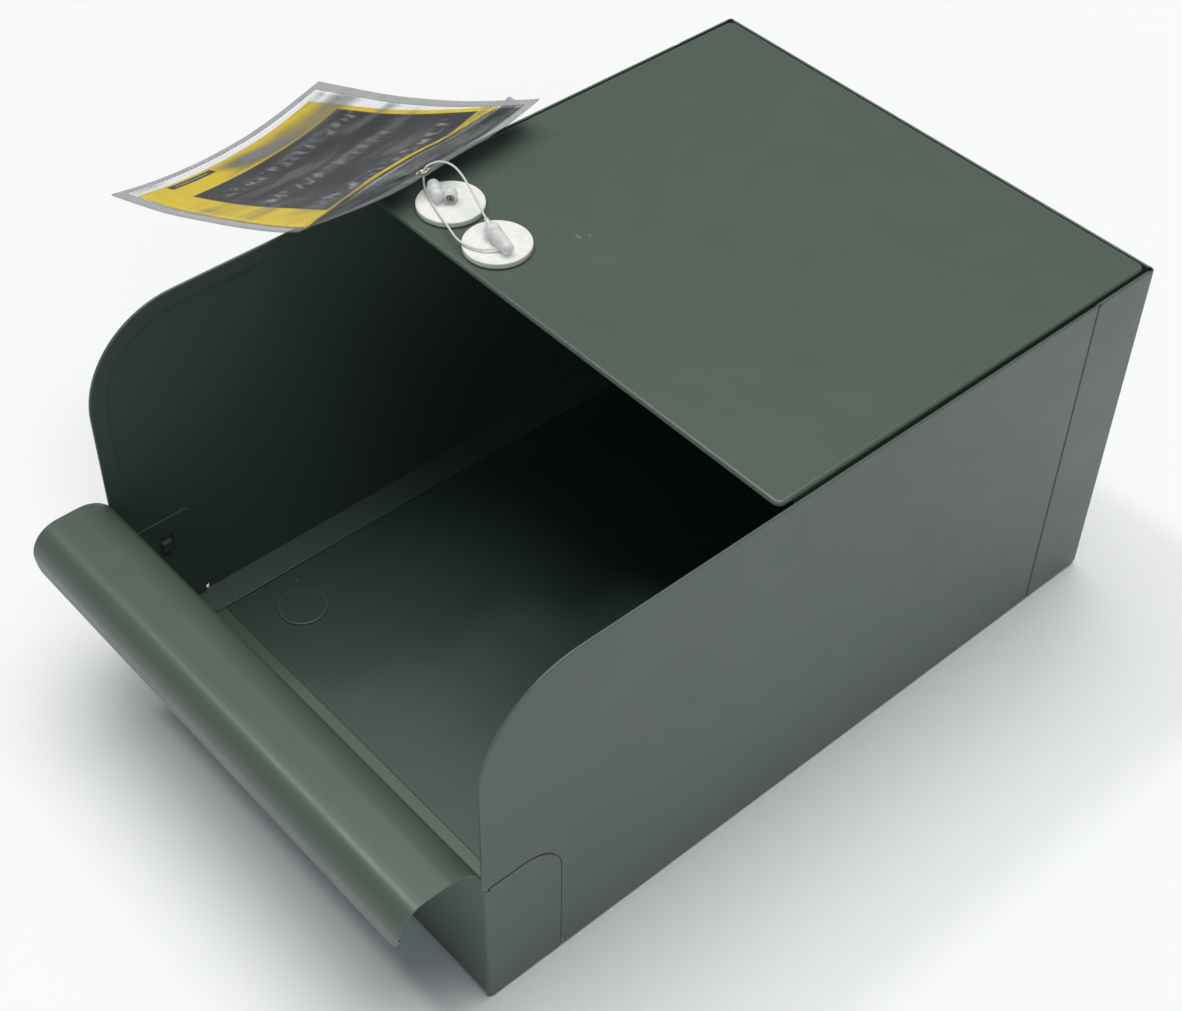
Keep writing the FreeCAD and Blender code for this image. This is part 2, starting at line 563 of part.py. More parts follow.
def elastic_loop():
    """Elastic tether: straight runs joined by tangent arcs along its route, swept as a round cord."""
    edges = []
    start = LOOP_ROUTE[0]
    radii = []
    for index in range(1, len(LOOP_ROUTE) - 1):
        corner = LOOP_ROUTE[index]
        arrive = corner - LOOP_ROUTE[index - 1]
        leave = LOOP_ROUTE[index + 1] - corner
        turn = arrive.getAngle(leave)
        cut = 0.45 * min(arrive.Length, leave.Length)
        radius = cut / math.tan(turn / 2.0)
        radii.append(radius)
        arrive.normalize()
        leave.normalize()
        centre = corner + (leave - arrive).normalize() * (radius / math.cos(turn / 2.0))
        middle = centre + (corner - centre).normalize() * radius
        first = corner - arrive * cut
        last = corner + leave * cut
        edges.append(Part.LineSegment(start, first).toShape())
        edges.append(Part.Arc(first, middle, last).toShape())
        start = last
    edges.append(Part.LineSegment(start, LOOP_ROUTE[-1]).toShape())
    path = Part.Wire(edges)
    heading = (LOOP_ROUTE[1] - LOOP_ROUTE[0]).normalize()
    section = Part.Wire([Part.Circle(LOOP_ROUTE[0], heading, LOOP_RADIUS).toShape()])
    tube = path.makePipeShell([section], True, False)
    expected = math.pi * LOOP_RADIUS ** 2 * path.Length
    print("elastic radii", [round(radius, 1) for radius in radii])
    print(f"elastic length {path.Length:.1f} mm, volume over section x length {tube.Volume / expected:.4f}")
    return tube


POCKET_OUT = V(-math.cos(math.radians(POCKET_TURN)), -math.sin(math.radians(POCKET_TURN)), 0)
POCKET_SIDE = V(-math.sin(math.radians(POCKET_TURN)), math.cos(math.radians(POCKET_TURN)), 0)
POCKET_THICK = 1.3


def pocket_normal(slope_degrees):
    """Upward normal of the pocket where it droops by this slope."""
    slope = math.radians(slope_degrees)
    return POCKET_OUT * math.sin(slope) + V(0, 0, math.cos(slope))


POCKET_UP = pocket_normal(sum(POCKET_SLOPE) / 2.0)


def pocket_point(side, out, lift):
    """A point of the pocket: along its width, out from the eyelet, and up from its underside."""
    total = POCKET_LENGTH + HEADER
    first = math.radians(POCKET_SLOPE[0])
    change = math.radians(POCKET_SLOPE[1] - POCKET_SLOPE[0]) / total
    start = first + change * HEADER
    reach = (math.sin(start + change * out) - math.sin(start)) / change
    drop = (math.cos(start) - math.cos(start + change * out)) / change
    share = (out + HEADER) / total
    trough = POCKET_TROUGH[0] + (POCKET_TROUGH[1] - POCKET_TROUGH[0]) * share
    rise = trough * (side / POCKET_HALF) ** 2
    return EYELET + POCKET_OUT * reach + POCKET_SIDE * side + V(0, 0, rise - drop) \
        + POCKET_UP * (lift - POCKET_THICK / 2.0)


def pocket_layer(side0, side1, out0, out1, lift, thick):
    """A curved sheet of the pocket between two widths and two reaches, with a thickness."""
    rows = 9
    columns = 11
    grid = []
    for row in range(rows):
        out = out0 + (out1 - out0) * row / (rows - 1)
        grid.append([pocket_point(side0 + (side1 - side0) * column / (columns - 1), out, lift)
                     for column in range(columns)])
    surface = Part.BSplineSurface()
    surface.interpolate(grid)
    return surface.toShape().extrude(POCKET_UP * thick)


def label_pocket():
    """Clear vinyl pocket: two films welded along three sides, open on its far long side."""
    shape = pocket_layer(-POCKET_HALF, POCKET_HALF, -HEADER, POCKET_LENGTH, 0.0, POCKET_THICK)
    cavity = pocket_layer(-POCKET_HALF + 6.0, POCKET_HALF + 2.0, 15.0, POCKET_LENGTH - 6.0,
                          FILM, POCKET_THICK - 2.0 * FILM)
    hole_axis = pocket_normal(POCKET_SLOPE[0])
    hole = cylinder(3.0, EYELET - hole_axis * 4.0, EYELET + hole_axis * 4.0)
    return shape.cut(cavity).cut(hole)


def label_card():
    """Printed card inside the pocket."""
    return pocket_layer(-POCKET_HALF + 8.0, POCKET_HALF - 3.0, 17.0, POCKET_LENGTH - 9.0, FILM + 0.1, CARD)


def eyelet():
    """Metal eyelet pressed through the pocket's header."""
    axis = pocket_normal(POCKET_SLOPE[0])
    half = POCKET_THICK / 2.0 + 0.05
    flange = 0.35
    shape = cylinder(2.9, EYELET - axis * half, EYELET + axis * half)
    for side in (-1, 1):
        rim = cylinder(4.2, EYELET + axis * (side * half), EYELET + axis * (side * (half + flange)))
        shape = shape.fuse(rim)
    return shape.cut(cylinder(2.4, EYELET - axis * 3.0, EYELET + axis * 3.0)).removeSplitter()


# ---------------------------------------------------------------- write every piece
def main():
    left = side_panel_left()
    export(left, "side_panel_left")
    export(mirrored(left), "side_panel_right")
    export(front_panel(), "front_panel")
    export(rear_panel(), "rear_panel")
    export(floor_pan(), "floor_pan")
    front_lock = lock_plate(FRONT_END + 0.2, TAB_DEPTH - 0.5, 70.5, FRONT_WINDOWS, FRONT_WINDOW_Y, 6.6)
    rear_lock = lock_plate(WRAP_START + 0.5, REAR_END - 0.2, 196.0, REAR_WINDOWS, REAR_WINDOW_Y, 6.0)
    for end, shape in (("front", front_lock), ("rear", rear_lock)):
        export(shape, f"lock_plate_{end}_left")
        export(mirrored(shape), f"lock_plate_{end}_right")
    corner_names = ("foot_front_left", "foot_front_right", "foot_rear_left", "foot_rear_right")
    for name, (x, y) in zip(corner_names, foot_places()):
        export(foot(x, y), name)

    export(lid(), "lid")
    for name, side in (("left", -1), ("right", 1)):
        export(hinge_bracket(side * HINGE_X), f"hinge_bracket_{name}")
        export(hinge_lug(side * HINGE_X), f"hinge_lug_{name}")
        export(hinge_pin(side * HINGE_X), f"hinge_pin_{name}")
    export(bracket_rivets(), "bracket_rivets")
    export(lid_rest(), "lid_rest_left")
    export(mirrored(lid_rest()), "lid_rest_right")
    export(lid_rest_pad(), "lid_rest_pad_left")
    export(mirrored(lid_rest_pad()), "lid_rest_pad_right")

    export(base_disc(DISC_LEFT), "base_disc_left")
    export(base_disc(DISC_RIGHT), "base_disc_right")
    export(clip_left(), "tether_clip_left")
    export(clip_right(), "tether_clip_right")
    export(elastic_loop(), "elastic_loop")
    export(label_pocket(), "label_pocket")
    export(label_card(), "label_card")
    export(eyelet(), "pocket_eyelet")


main()
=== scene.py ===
"""Book drop box: the visual model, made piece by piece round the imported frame."""
import math

import bmesh
import bpy
from mathutils import Matrix, Vector, noise


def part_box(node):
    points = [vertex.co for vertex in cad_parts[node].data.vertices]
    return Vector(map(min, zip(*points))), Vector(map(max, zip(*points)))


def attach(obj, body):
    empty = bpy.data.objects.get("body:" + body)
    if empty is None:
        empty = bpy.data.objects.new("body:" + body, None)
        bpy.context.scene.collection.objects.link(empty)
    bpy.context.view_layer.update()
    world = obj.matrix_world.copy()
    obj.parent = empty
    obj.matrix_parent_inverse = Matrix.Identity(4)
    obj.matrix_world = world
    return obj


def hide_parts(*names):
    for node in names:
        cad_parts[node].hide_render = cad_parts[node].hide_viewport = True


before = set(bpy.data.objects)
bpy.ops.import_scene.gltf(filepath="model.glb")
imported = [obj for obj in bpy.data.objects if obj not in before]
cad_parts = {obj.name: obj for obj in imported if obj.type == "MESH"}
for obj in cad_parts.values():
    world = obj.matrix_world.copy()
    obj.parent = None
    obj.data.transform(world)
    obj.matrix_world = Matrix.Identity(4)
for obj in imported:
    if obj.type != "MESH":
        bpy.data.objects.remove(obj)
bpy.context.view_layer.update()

bl_info = {
    "name": "Book Drop Box",
    "version": (1, 0, 0),
    "blender": (4, 5, 0),
    "location": "View3D > Sidebar > Drop Box",
    "description": "Builds a powder-coated book drop box with a hinged lid and a tethered label pocket",
    "category": "Object",
}

MM = 0.001
LID_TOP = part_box("lid")[1].z / MM
HINGE_AXIS = (421.0, 207.4)
HINGE_X = 100.0
RIVET_DROPS = (20.0, 35.0)
RIVET_HEAD = (3.1, 1.3)
RIVET_GRIP = 2.4
REAR_FACE = 430.0
FEET = {
    "front_left": (-104.5, 77.0),
    "front_right": (104.5, 77.0),
    "rear_left": (-104.5, 353.0),
    "rear_right": (104.5, 353.0),
}
DISC_LEFT = (-111.6, 194.7)
DISC_RIGHT = (-71.1, 191.7)
DISC_HEIGHT = 3.6
CLIP_FLOOR = LID_TOP + DISC_HEIGHT
LOOP_LENGTH = 0.1354
LOOP_DIAMETER = 0.0011
LOOP_ROUTE = (
    (-82.05, 193.57, 223.05), (-91.2, 195.7, 226.9), (-103.0, 199.4, 229.2), (-113.0, 202.4, 229.7),
    (-121.2, 203.6, 229.4), (-127.0, 201.6, 229.0), (-129.6, 197.6, 228.2), (-130.7, 193.4, 226.6),
    (-130.2, 192.2, 219.6), (-127.2, 190.4, 217.3), (-119.6, 187.4, 217.3), (-106.5, 182.9, 217.2),
    (-94.0, 179.6, 217.0), (-85.8, 177.2, 217.0), (-79.8, 176.6, 217.2), (-73.6, 178.2, 217.2),
    (-67.9, 181.8, 217.5), (-64.9, 186.6, 218.0),
)

# Faces whose normals' product is above FLAT lie in one flat; past these angles, in degrees, a crease stays.
FLAT = 0.99998
CREASE = 34.0
MOULDED_CREASE = 50.0
CLIP_CREASE = 60.0

# The label pocket leaves its eyelet at a slope and droops along an arc; its sides curl up like a trough.
EYELET = Vector((-130.4, 192.8, 224.0))
POCKET_TURN = math.radians(4.5)
POCKET_OUT = Vector((-math.cos(POCKET_TURN), -math.sin(POCKET_TURN), 0.0))
POCKET_SIDE = Vector((-math.sin(POCKET_TURN), math.cos(POCKET_TURN), 0.0))
POCKET_SLOPES = (math.radians(29.5), math.radians(16.8))
POCKET_LENGTH = 196.0
POCKET_HEADER = 5.5
POCKET_TROUGH = (5.5, 10.6)
POCKET_HALF = 80.0
POCKET_NEAR = (-81.0, 80.0)
POCKET_FAR = (-77.5, 78.0)
CARD_NEAR = (-75.0, 74.5)
CARD_FAR = (-70.0, 60.5)
EYELET_HOLE = 3.05
EYELET_CLEAR = 9.0
FILM_SWELL = 9.0
FILM_SINK = 0.30
WELD_STEPS = 60
WELD_GAP = 6.0
WELD_LIFT = 0.38
WINDOW = [(-75.0, -0.5), (-71.5, 182.0), (71.5, 190.5), (74.5, 3.0)]
FOLD_KNOTS = ((-75.0, 2.0), (-50.0, 17.0), (-21.0, 29.5), (17.0, 34.0), (45.0, 31.0), (74.5, 24.7))
CHART_START = (-100.0, -20.0)
CHART_SIZE = (200.0, 240.0)
UP = Vector((0.0, 0.0, 1.0))

# The camera: turn, height and roll in degrees, lens in mm, place in metres.
CAMERA_ANGLES = (47.403, 45.149, 1.519)
CAMERA_LENS = 61.41
CAMERA_PLACE = (0.5448, -0.3073, 0.8289)

NOISE_RANGE = (0.3, 0.7)

# Finishes that are the same each time: colour, then alpha or the scale of the pores.
FOAM = ((0.016, 0.016, 0.017), 1300.0)
TAPE = ((0.022, 0.026, 0.024), 1600.0)
FOOT_RUBBER = (0.024, 0.024, 0.025)
CLEAR_PLASTIC = ((0.86, 0.865, 0.85), 0.56)
# Painted shade: the bore's darker brown stands in for the shade inside the clip's cup.
SHADED_BORE = ((0.16, 0.14, 0.10), 0.86)
WELD_RIDGE = ((0.30, 0.31, 0.305), 0.40)
# The milky colour is the weld's own; the dark colour ahead of the card is painted shade of the inside seen
# through the clear film.
POCKET_FILM = {"milky": (0.21, 0.22, 0.215), "shade_ahead": (0.030, 0.034, 0.033)}

# The lights: setting that holds the strength, spread in degrees, direction that the light comes from.
LIGHTS = {
    "overhead": (50.0, (-0.07, 0.14, 1.0)),
    "lamp": (6.0, (-0.46, -0.24, 0.82)),
    "side": (34.0, (1.0, -0.42, 0.17)),
    "fill": (40.0, (0.60, -0.42, 0.68)),
}
FILL_COLOUR = (0.50, 0.80, 1.0)
FLOOR_HALF = 7.0
WHITE = (1.0, 1.0, 1.0, 1.0)


# ------------------------------------------------------------------ settings
def colour_setting(name, description, default):
    """A colour that a user can change."""
    return bpy.props.FloatVectorProperty(
        name=name, description=description, size=3, subtype="COLOR", min=0.0, max=1.0, default=default)


def number_setting(name, description, default, low, high, **kind):
    """A number that a user can change between two limits."""
    return bpy.props.FloatProperty(
        name=name, description=description, default=default, min=low, max=high, **kind)


class PaintSettings(bpy.types.PropertyGroup):
    """The powder-coated steel."""
    colour: colour_setting(
        "Paint Colour", "Colour of the powder coat", (0.083, 0.114, 0.091))
    # Painted shade: the floor pan's coat is darker and greener than the rest, standing in for the shade and
    # green bounce light inside the box.
    inner: colour_setting(
        "Floor Pan Colour With Painted Shade", "Colour of the coat on the floor pan, darker and greener as painted shade", (0.047, 0.073, 0.058))
    gloss: number_setting(
        "Paint Roughness", "Roughness of the powder coat",
        0.34, 0.05, 1.0, subtype="FACTOR")
    # The edge width picks the faces that get the painted highlight: a lighter coat on edges and small folds.
    edge: number_setting(
        "Edge Width", "Narrower faces are edges and small folds, where the coat is lighter",
        0.0009, 0.0002, 0.002, unit="LENGTH")


class TetherSettings(bpy.types.PropertyGroup):
    """The elastic, its clips and the bases under them."""
    elastic: colour_setting(
        "Elastic Colour", "Colour of the elastic loop", (0.80, 0.80, 0.78))
    base: colour_setting(
        "Base Colour", "Colour of the round adhesive bases", (0.87, 0.87, 0.82))
    diameter: number_setting(
        "Elastic Diameter", "Thickness of the elastic loop",
        LOOP_DIAMETER, 0.0005, 0.003, unit="LENGTH")


class LabelSettings(bpy.types.PropertyGroup):
    """The label pocket and the card in it."""
    card: colour_setting(
        "Card Colour", "Ground colour of the card", (0.82, 0.60, 0.006))
    field: colour_setting(
        "Field Colour", "Colour of the dark field printed on the card", (0.018, 0.019, 0.022))
    film: number_setting(
        "Film Thickness", "Thickness of each sheet of the pocket",
        0.00035, 0.0001, 0.0006, unit="LENGTH")
    rib_gap: number_setting(
        "Weld Rib Spacing", "Distance between the fine ribs of the heat weld",
        0.0030, 0.001, 0.01, unit="LENGTH")


class StudioSettings(bpy.types.PropertyGroup):
    """Floor and light."""
    floor: colour_setting(
        "Floor Colour", "Colour of the studio floor", (0.93, 0.93, 0.93))
    overhead: number_setting(
        "Overhead Light", "Strength of the soft light from above",
        2.30, 0.0, 10.0)
    lamp: number_setting(
        "Lamp", "Strength of the smaller lamp above the left that draws the folds",
        0.52, 0.0, 10.0)
    side: number_setting(
        "Side Light", "Strength of the low light from the right",
        0.30, 0.0, 10.0)
    fill: number_setting(
        "Fill Light", "Strength of the cool shadowless light that opens the inside",
        0.20, 0.0, 2.0)
    ambient: number_setting(
        "Ambient Light", "Strength of the light from all round",
        0.12, 0.0, 2.0)


# ------------------------------------------------------------------ materials
class Nodes:
    """Short ways to add to a node tree."""

    def __init__(self, tree):
        self.tree = tree
        tree.nodes.clear()

    def add(self, kind, inputs=None, **settings):
        node = self.tree.nodes.new(kind)
        for key, value in settings.items():
            setattr(node, key, value)
        for key, value in (inputs or {}).items():
            self.feed(node.inputs[key], value)
        return node

    def feed(self, socket, value):
        if isinstance(value, bpy.types.NodeSocket):
            self.tree.links.new(value, socket)
        elif value is not None:
            socket.default_value = value

    def math(self, operation, first, second=None, third=None, clamp=False):
        values = {0: first, 1: second, 2: third}
        return self.add("ShaderNodeMath", values, operation=operation, use_clamp=clamp).outputs[0]


class Finish(Nodes):
    """One procedural material: a Principled shader and short ways to add what drives it."""

    def __init__(self, name, **sockets):
        self.material = bpy.data.materials.new(name)
        self.material.use_nodes = True
        super().__init__(self.material.node_tree)
        output = self.add("ShaderNodeOutputMaterial")
        self.shader = self.add("ShaderNodeBsdfPrincipled")
        self.tree.links.new(self.shader.outputs["BSDF"], output.inputs["Surface"])
        for key, value in sockets.items():
            self.set(key.replace("_", " "), value)

    def set(self, key, value):
        """Sets a socket of the shader to a number, a colour or another node's output."""
        if key.endswith("Color") and not isinstance(value, bpy.types.NodeSocket):
            value = (*tuple(value)[:3], 1.0)
        self.feed(self.shader.inputs[key], value)

    def place(self, source="Object", scale=(1, 1, 1), turn=(0, 0, 0), shift=(0, 0, 0)):
        """A point on the surface, from its object coordinates or its UV map, in a pattern's own axes."""
        coordinates = self.add("ShaderNodeTexCoord").outputs[source]
        return self.add("ShaderNodeMapping", {
            "Vector": coordinates, "Scale": scale, "Rotation": turn, "Location": shift}).outputs["Vector"]

    def noise(self, place, scale, detail=2.0, roughness=0.5):
        return self.add("ShaderNodeTexNoise", {
            "Vector": place, "Scale": scale, "Detail": detail, "Roughness": roughness}).outputs["Fac"]

    def streaks(self, scale, turn, detail, roughness):
        """Noise that is stretched and turned over the UV map."""
        place = self.place("UV", scale=(*scale, 1.0), turn=(0.0, 0.0, turn))
        return self.noise(place, 1.0, detail, roughness)

    def spread(self, value, start, end):
        """A noise, which keeps near the middle of its range, spread from start to end."""
        return self.remap(value, *NOISE_RANGE, start, end)

    def remap(self, value, low, high, start=0.0, end=1.0, smooth=False):
        return self.add("ShaderNodeMapRange", {
            "Value": value, "From Min": low, "From Max": high, "To Min": start, "To Max": end},
            interpolation_type="SMOOTHSTEP" if smooth else "LINEAR").outputs["Result"]

    def mix(self, amount, first, second):
        """A colour between two, by amount."""
        node = self.add("ShaderNodeMix", data_type="RGBA")
        for index, value in ((0, amount), (6, first), (7, second)):
            if index and not isinstance(value, bpy.types.NodeSocket):
                value = (*tuple(value)[:3], 1.0)
            self.feed(node.inputs[index], value)
        return node.outputs[2]

    def blend(self, amount, first, second):
        """A number between two, by amount."""
        return self.add("ShaderNodeMix", {0: amount, 2: first, 3: second}, data_type="FLOAT").outputs[0]

    def shade(self, colour, value):
        """A colour made lighter or darker by a value round 1."""
        return self.add("ShaderNodeHueSaturation", {
            "Color": colour if isinstance(colour, bpy.types.NodeSocket) else (*tuple(colour)[:3], 1.0),
            "Value": value}).outputs["Color"]

    def bump(self, height, distance, under=None):
        """Relief of that depth in metres."""
        return self.add("ShaderNodeBump", {
            "Height": height, "Distance": distance, "Strength": 1.0, "Normal": under}).outputs["Normal"]


def powder_coat(name, colour, roughness, tone=1.0, scuffs=()):
    """Satin powder coat: fine orange peel, a faint drift of tone, specks, and pale scuffs where given."""
    coat = Finish(name, Specular_IOR_Level=0.42)
    place = coat.place()
    drift = coat.noise(place, 7.0, 3.0, 0.6)
    speck = coat.noise(place, 2100.0, 1.0)
    peel = coat.noise(place, 620.0, 2.0, 0.45)
    value = coat.math("ADD", coat.spread(drift, 0.965 * tone, 1.035 * tone),
                      coat.spread(speck, -0.035, 0.035))
    shade = coat.shade(colour, value)
    gloss = coat.spread(coat.noise(place, 38.0, 4.0, 0.6), roughness - 0.035, roughness + 0.045)
    for centre, half, turn in scuffs:
        near = coat.place(shift=[-c for c in centre])
        mapped = coat.add("ShaderNodeMapping", {
            "Vector": near, "Rotation": (0.0, 0.0, -turn),
            "Scale": [1.0 / h for h in half]}).outputs["Vector"]
        reach = coat.add("ShaderNodeVectorMath", {0: mapped}, operation="LENGTH").outputs["Value"]
        broken = coat.remap(coat.noise(place, 2600.0, 3.0, 0.7), 0.42, 0.60)
        rub = coat.math("MULTIPLY", coat.remap(reach, 0.35, 1.0, 1.0, 0.0, smooth=True), broken)
        shade = coat.mix(coat.math("MULTIPLY", rub, 0.55), shade, (0.36, 0.43, 0.39))
    coat.set("Base Color", shade)
    coat.set("Roughness", gloss)
    fine = coat.bump(speck, 0.0000035)
    coat.set("Normal", coat.bump(peel, 0.000016, fine))
    return coat.material


def plated_steel(name):
    """Zinc-plated pins and rivets with faint turning marks."""
    plate = Finish(name, Metallic=1.0)
    place = plate.place()
    cloud = plate.noise(place, 240.0, 3.0)
    turned = plate.noise(plate.place(scale=(2600.0, 260.0, 260.0)), 1.0, 2.0)
    plate.set("Base Color", plate.mix(cloud, (0.46, 0.47, 0.46), (0.62, 0.62, 0.60)))
    plate.set("Roughness", plate.spread(turned, 0.26, 0.44))
    plate.set("Normal", plate.bump(turned, 0.000012))
    return plate.material


def rubber(name, colour, pores=0.0):
    """Matt rubber or foam with a grainy skin."""
    skin = Finish(name, Specular_IOR_Level=0.3)
    place = skin.place()
    grain = skin.noise(place, 1500.0, 3.0, 0.6)
    dust = skin.noise(place, 60.0, 3.0)
    height = grain
    if pores:
        cells = skin.add("ShaderNodeTexVoronoi", {"Vector": place, "Scale": pores}).outputs["Distance"]
        height = skin.math("ADD", grain, cells)
    skin.set("Base Color", skin.shade(colour, skin.spread(dust, 0.85, 1.25)))
    skin.set("Roughness", skin.spread(grain, 0.72, 0.9))
    skin.set("Normal", skin.bump(height, 0.00004))
    return skin.material


def moulded_plastic(name, colour):
    """Matt white moulded plastic with a faint marbling and a fine grain."""
    cast = Finish(name, Specular_IOR_Level=0.4, Subsurface_Weight=0.08, Subsurface_Scale=0.001)
    place = cast.place()
    marble = cast.noise(place, 260.0, 4.0, 0.65)
    grain = cast.noise(place, 1500.0, 2.0)
    cast.set("Base Color", cast.shade(colour, cast.spread(marble, 0.93, 1.04)))
    cast.set("Roughness", cast.spread(marble, 0.42, 0.58))
    cast.set("Normal", cast.bump(grain, 0.00001, cast.bump(marble, 0.00003)))
    return cast.material


def clear_plastic(name, colour, alpha):
    """Milky clear plastic of the clips, cloudier where it flowed together."""
    clear = Finish(name, Roughness=0.2, IOR=1.47, Specular_IOR_Level=0.6)
    place = clear.place()
    cloud = clear.noise(place, 420.0, 3.0, 0.6)
    clear.set("Base Color", clear.shade(colour, clear.spread(cloud, 0.95, 1.04)))
    clear.set("Alpha", clear.spread(cloud, alpha - 0.07, alpha + 0.07))
    clear.set("Normal", clear.bump(clear.noise(place, 900.0, 2.0), 0.00002))
    return clear.material


def braided_elastic(name, colour, length, diameter):
    """White covered elastic: two sets of yarns that wind round it opposite ways."""
    braid = Finish(name, Roughness=0.75, Sheen_Weight=0.25, Sheen_Roughness=0.5)
    turns = length / (diameter * 2.2)
    parts = braid.add("ShaderNodeSeparateXYZ", {"Vector": braid.place("UV")}).outputs
    waves = []
    for hand in (1.0, -1.0):
        along = braid.math("MULTIPLY", parts["X"], turns * 2.0 * math.pi * 3.0)
        angle = braid.math("MULTIPLY_ADD", parts["Y"], hand * 2.0 * math.pi * 6.0, along)
        waves.append(braid.math("SINE", angle))
    yarn = braid.remap(braid.math("MULTIPLY", *waves), -1.0, 1.0)
    # The yarn colour darkens where the relief is low, between the yarns: painted shade in the hollows of the
    # braid.
    braid.set("Base Color", braid.shade(colour, braid.remap(yarn, 0.0, 1.0, 0.84, 1.04)))
    braid.set("Normal", braid.bump(yarn, 0.00006))
    return braid.material


def bright_eyelet(name):
    """Nickelled brass, warm where the plating is thin."""
    metal = Finish(name, Metallic=1.0)
    place = metal.place()
    thin = metal.noise(place, 700.0, 3.0)
    worn = metal.remap(thin, 0.35, 0.65)
    metal.set("Base Color", metal.mix(worn, (0.72, 0.70, 0.64), (0.60, 0.50, 0.30)))
    metal.set("Roughness", metal.spread(thin, 0.14, 0.30))
    metal.set("Normal", metal.bump(thin, 0.00001))
    return metal.material


def chart_spot(side, out):
    """Where a spot of the label, given in mm, lies on its UV map."""
    return (side - CHART_START[0]) / CHART_SIZE[0], (out - CHART_START[1]) / CHART_SIZE[1]


def label_axes(finish):
    """Distances across and along the pocket, in mm, read from the UV map."""
    parts = finish.add("ShaderNodeSeparateXYZ", {"Vector": finish.place("UV")}).outputs
    return [finish.math("MULTIPLY_ADD", part, size, start)
            for part, size, start in zip((parts["X"], parts["Y"]), CHART_SIZE, CHART_START)]


def inside(finish, axes, corners, softness):
    """1 inside a four-sided patch of the label, 0 outside, over a soft edge."""
    mask = None
    centre = [sum(c[k] for c in corners) / len(corners) for k in (0, 1)]
    for start, end in around(corners):
        along = (end[0] - start[0], end[1] - start[1])
        length = math.hypot(*along)
        normal = (-along[1] / length, along[0] / length)
        if normal[0] * (centre[0] - start[0]) + normal[1] * (centre[1] - start[1]) < 0:
            normal = (-normal[0], -normal[1])
        offset = -(normal[0] * start[0] + normal[1] * start[1])
        across = finish.math("MULTIPLY_ADD", axes[0], normal[0], offset)
        depth = finish.math("MULTIPLY_ADD", axes[1], normal[1], across)
        edge = finish.remap(depth, -softness, softness, smooth=True)
        mask = edge if mask is None else finish.math("MULTIPLY", mask, edge)
    return mask


def printed_card(name, ground, field):
    """Yellow card with a dark field, soft pale bars and a plain tag, all without lettering."""
    card = Finish(name, Roughness=0.5)
    axes = label_axes(card)
    place = card.place("UV", scale=(*CHART_SIZE, 1.0))
    fibre = card.noise(place, 0.9, 4.0, 0.6)
    colour = card.shade(ground, card.spread(fibre, 0.93, 1.05))
    dark = inside(card, axes, [(-53.6, 142.0), (-48.0, 22.0), (69.6, 38.0), (59.0, 154.0)], 0.5)
    colour = card.mix(dark, colour, card.shade(field, card.spread(fibre, 0.8, 1.2)))
    strokes = card.streaks((44.0, 17.0), 0.5, 2.5, 0.6)
    words = card.remap(strokes, 0.46, 0.66, smooth=True)
    for row, (near, far) in enumerate(((123.0, 139.0), (83.0, 95.0), (42.0, 52.0))):
        corners = [(-45.0, near - 5.0), (-45.0, near + 5.0), (60.0, far + 5.0), (60.0, far - 5.0)]
        bar = card.math("MULTIPLY", inside(card, axes, corners, 3.4), words)
        colour = card.mix(card.math("MULTIPLY", bar, 0.62 + 0.06 * row), colour, (0.46, 0.47, 0.49))
    tag = inside(card, axes, [(-52.0, 164.0), (-52.0, 171.0), (-21.0, 173.0), (-21.0, 166.0)], 0.4)
    colour = card.mix(tag, colour, (0.012, 0.012, 0.012))
    stripe = inside(card, axes, [(-48.0, 166.8), (-48.0, 168.8), (-25.0, 170.4), (-25.0, 168.4)], 0.5)
    card.set("Base Color", card.mix(card.math("MULTIPLY", stripe, 0.5), colour, (0.6, 0.6, 0.55)))
    card.set("Roughness", card.spread(fibre, 0.42, 0.58))
    card.set("Normal", card.bump(fibre, 0.00002))
    return card.material


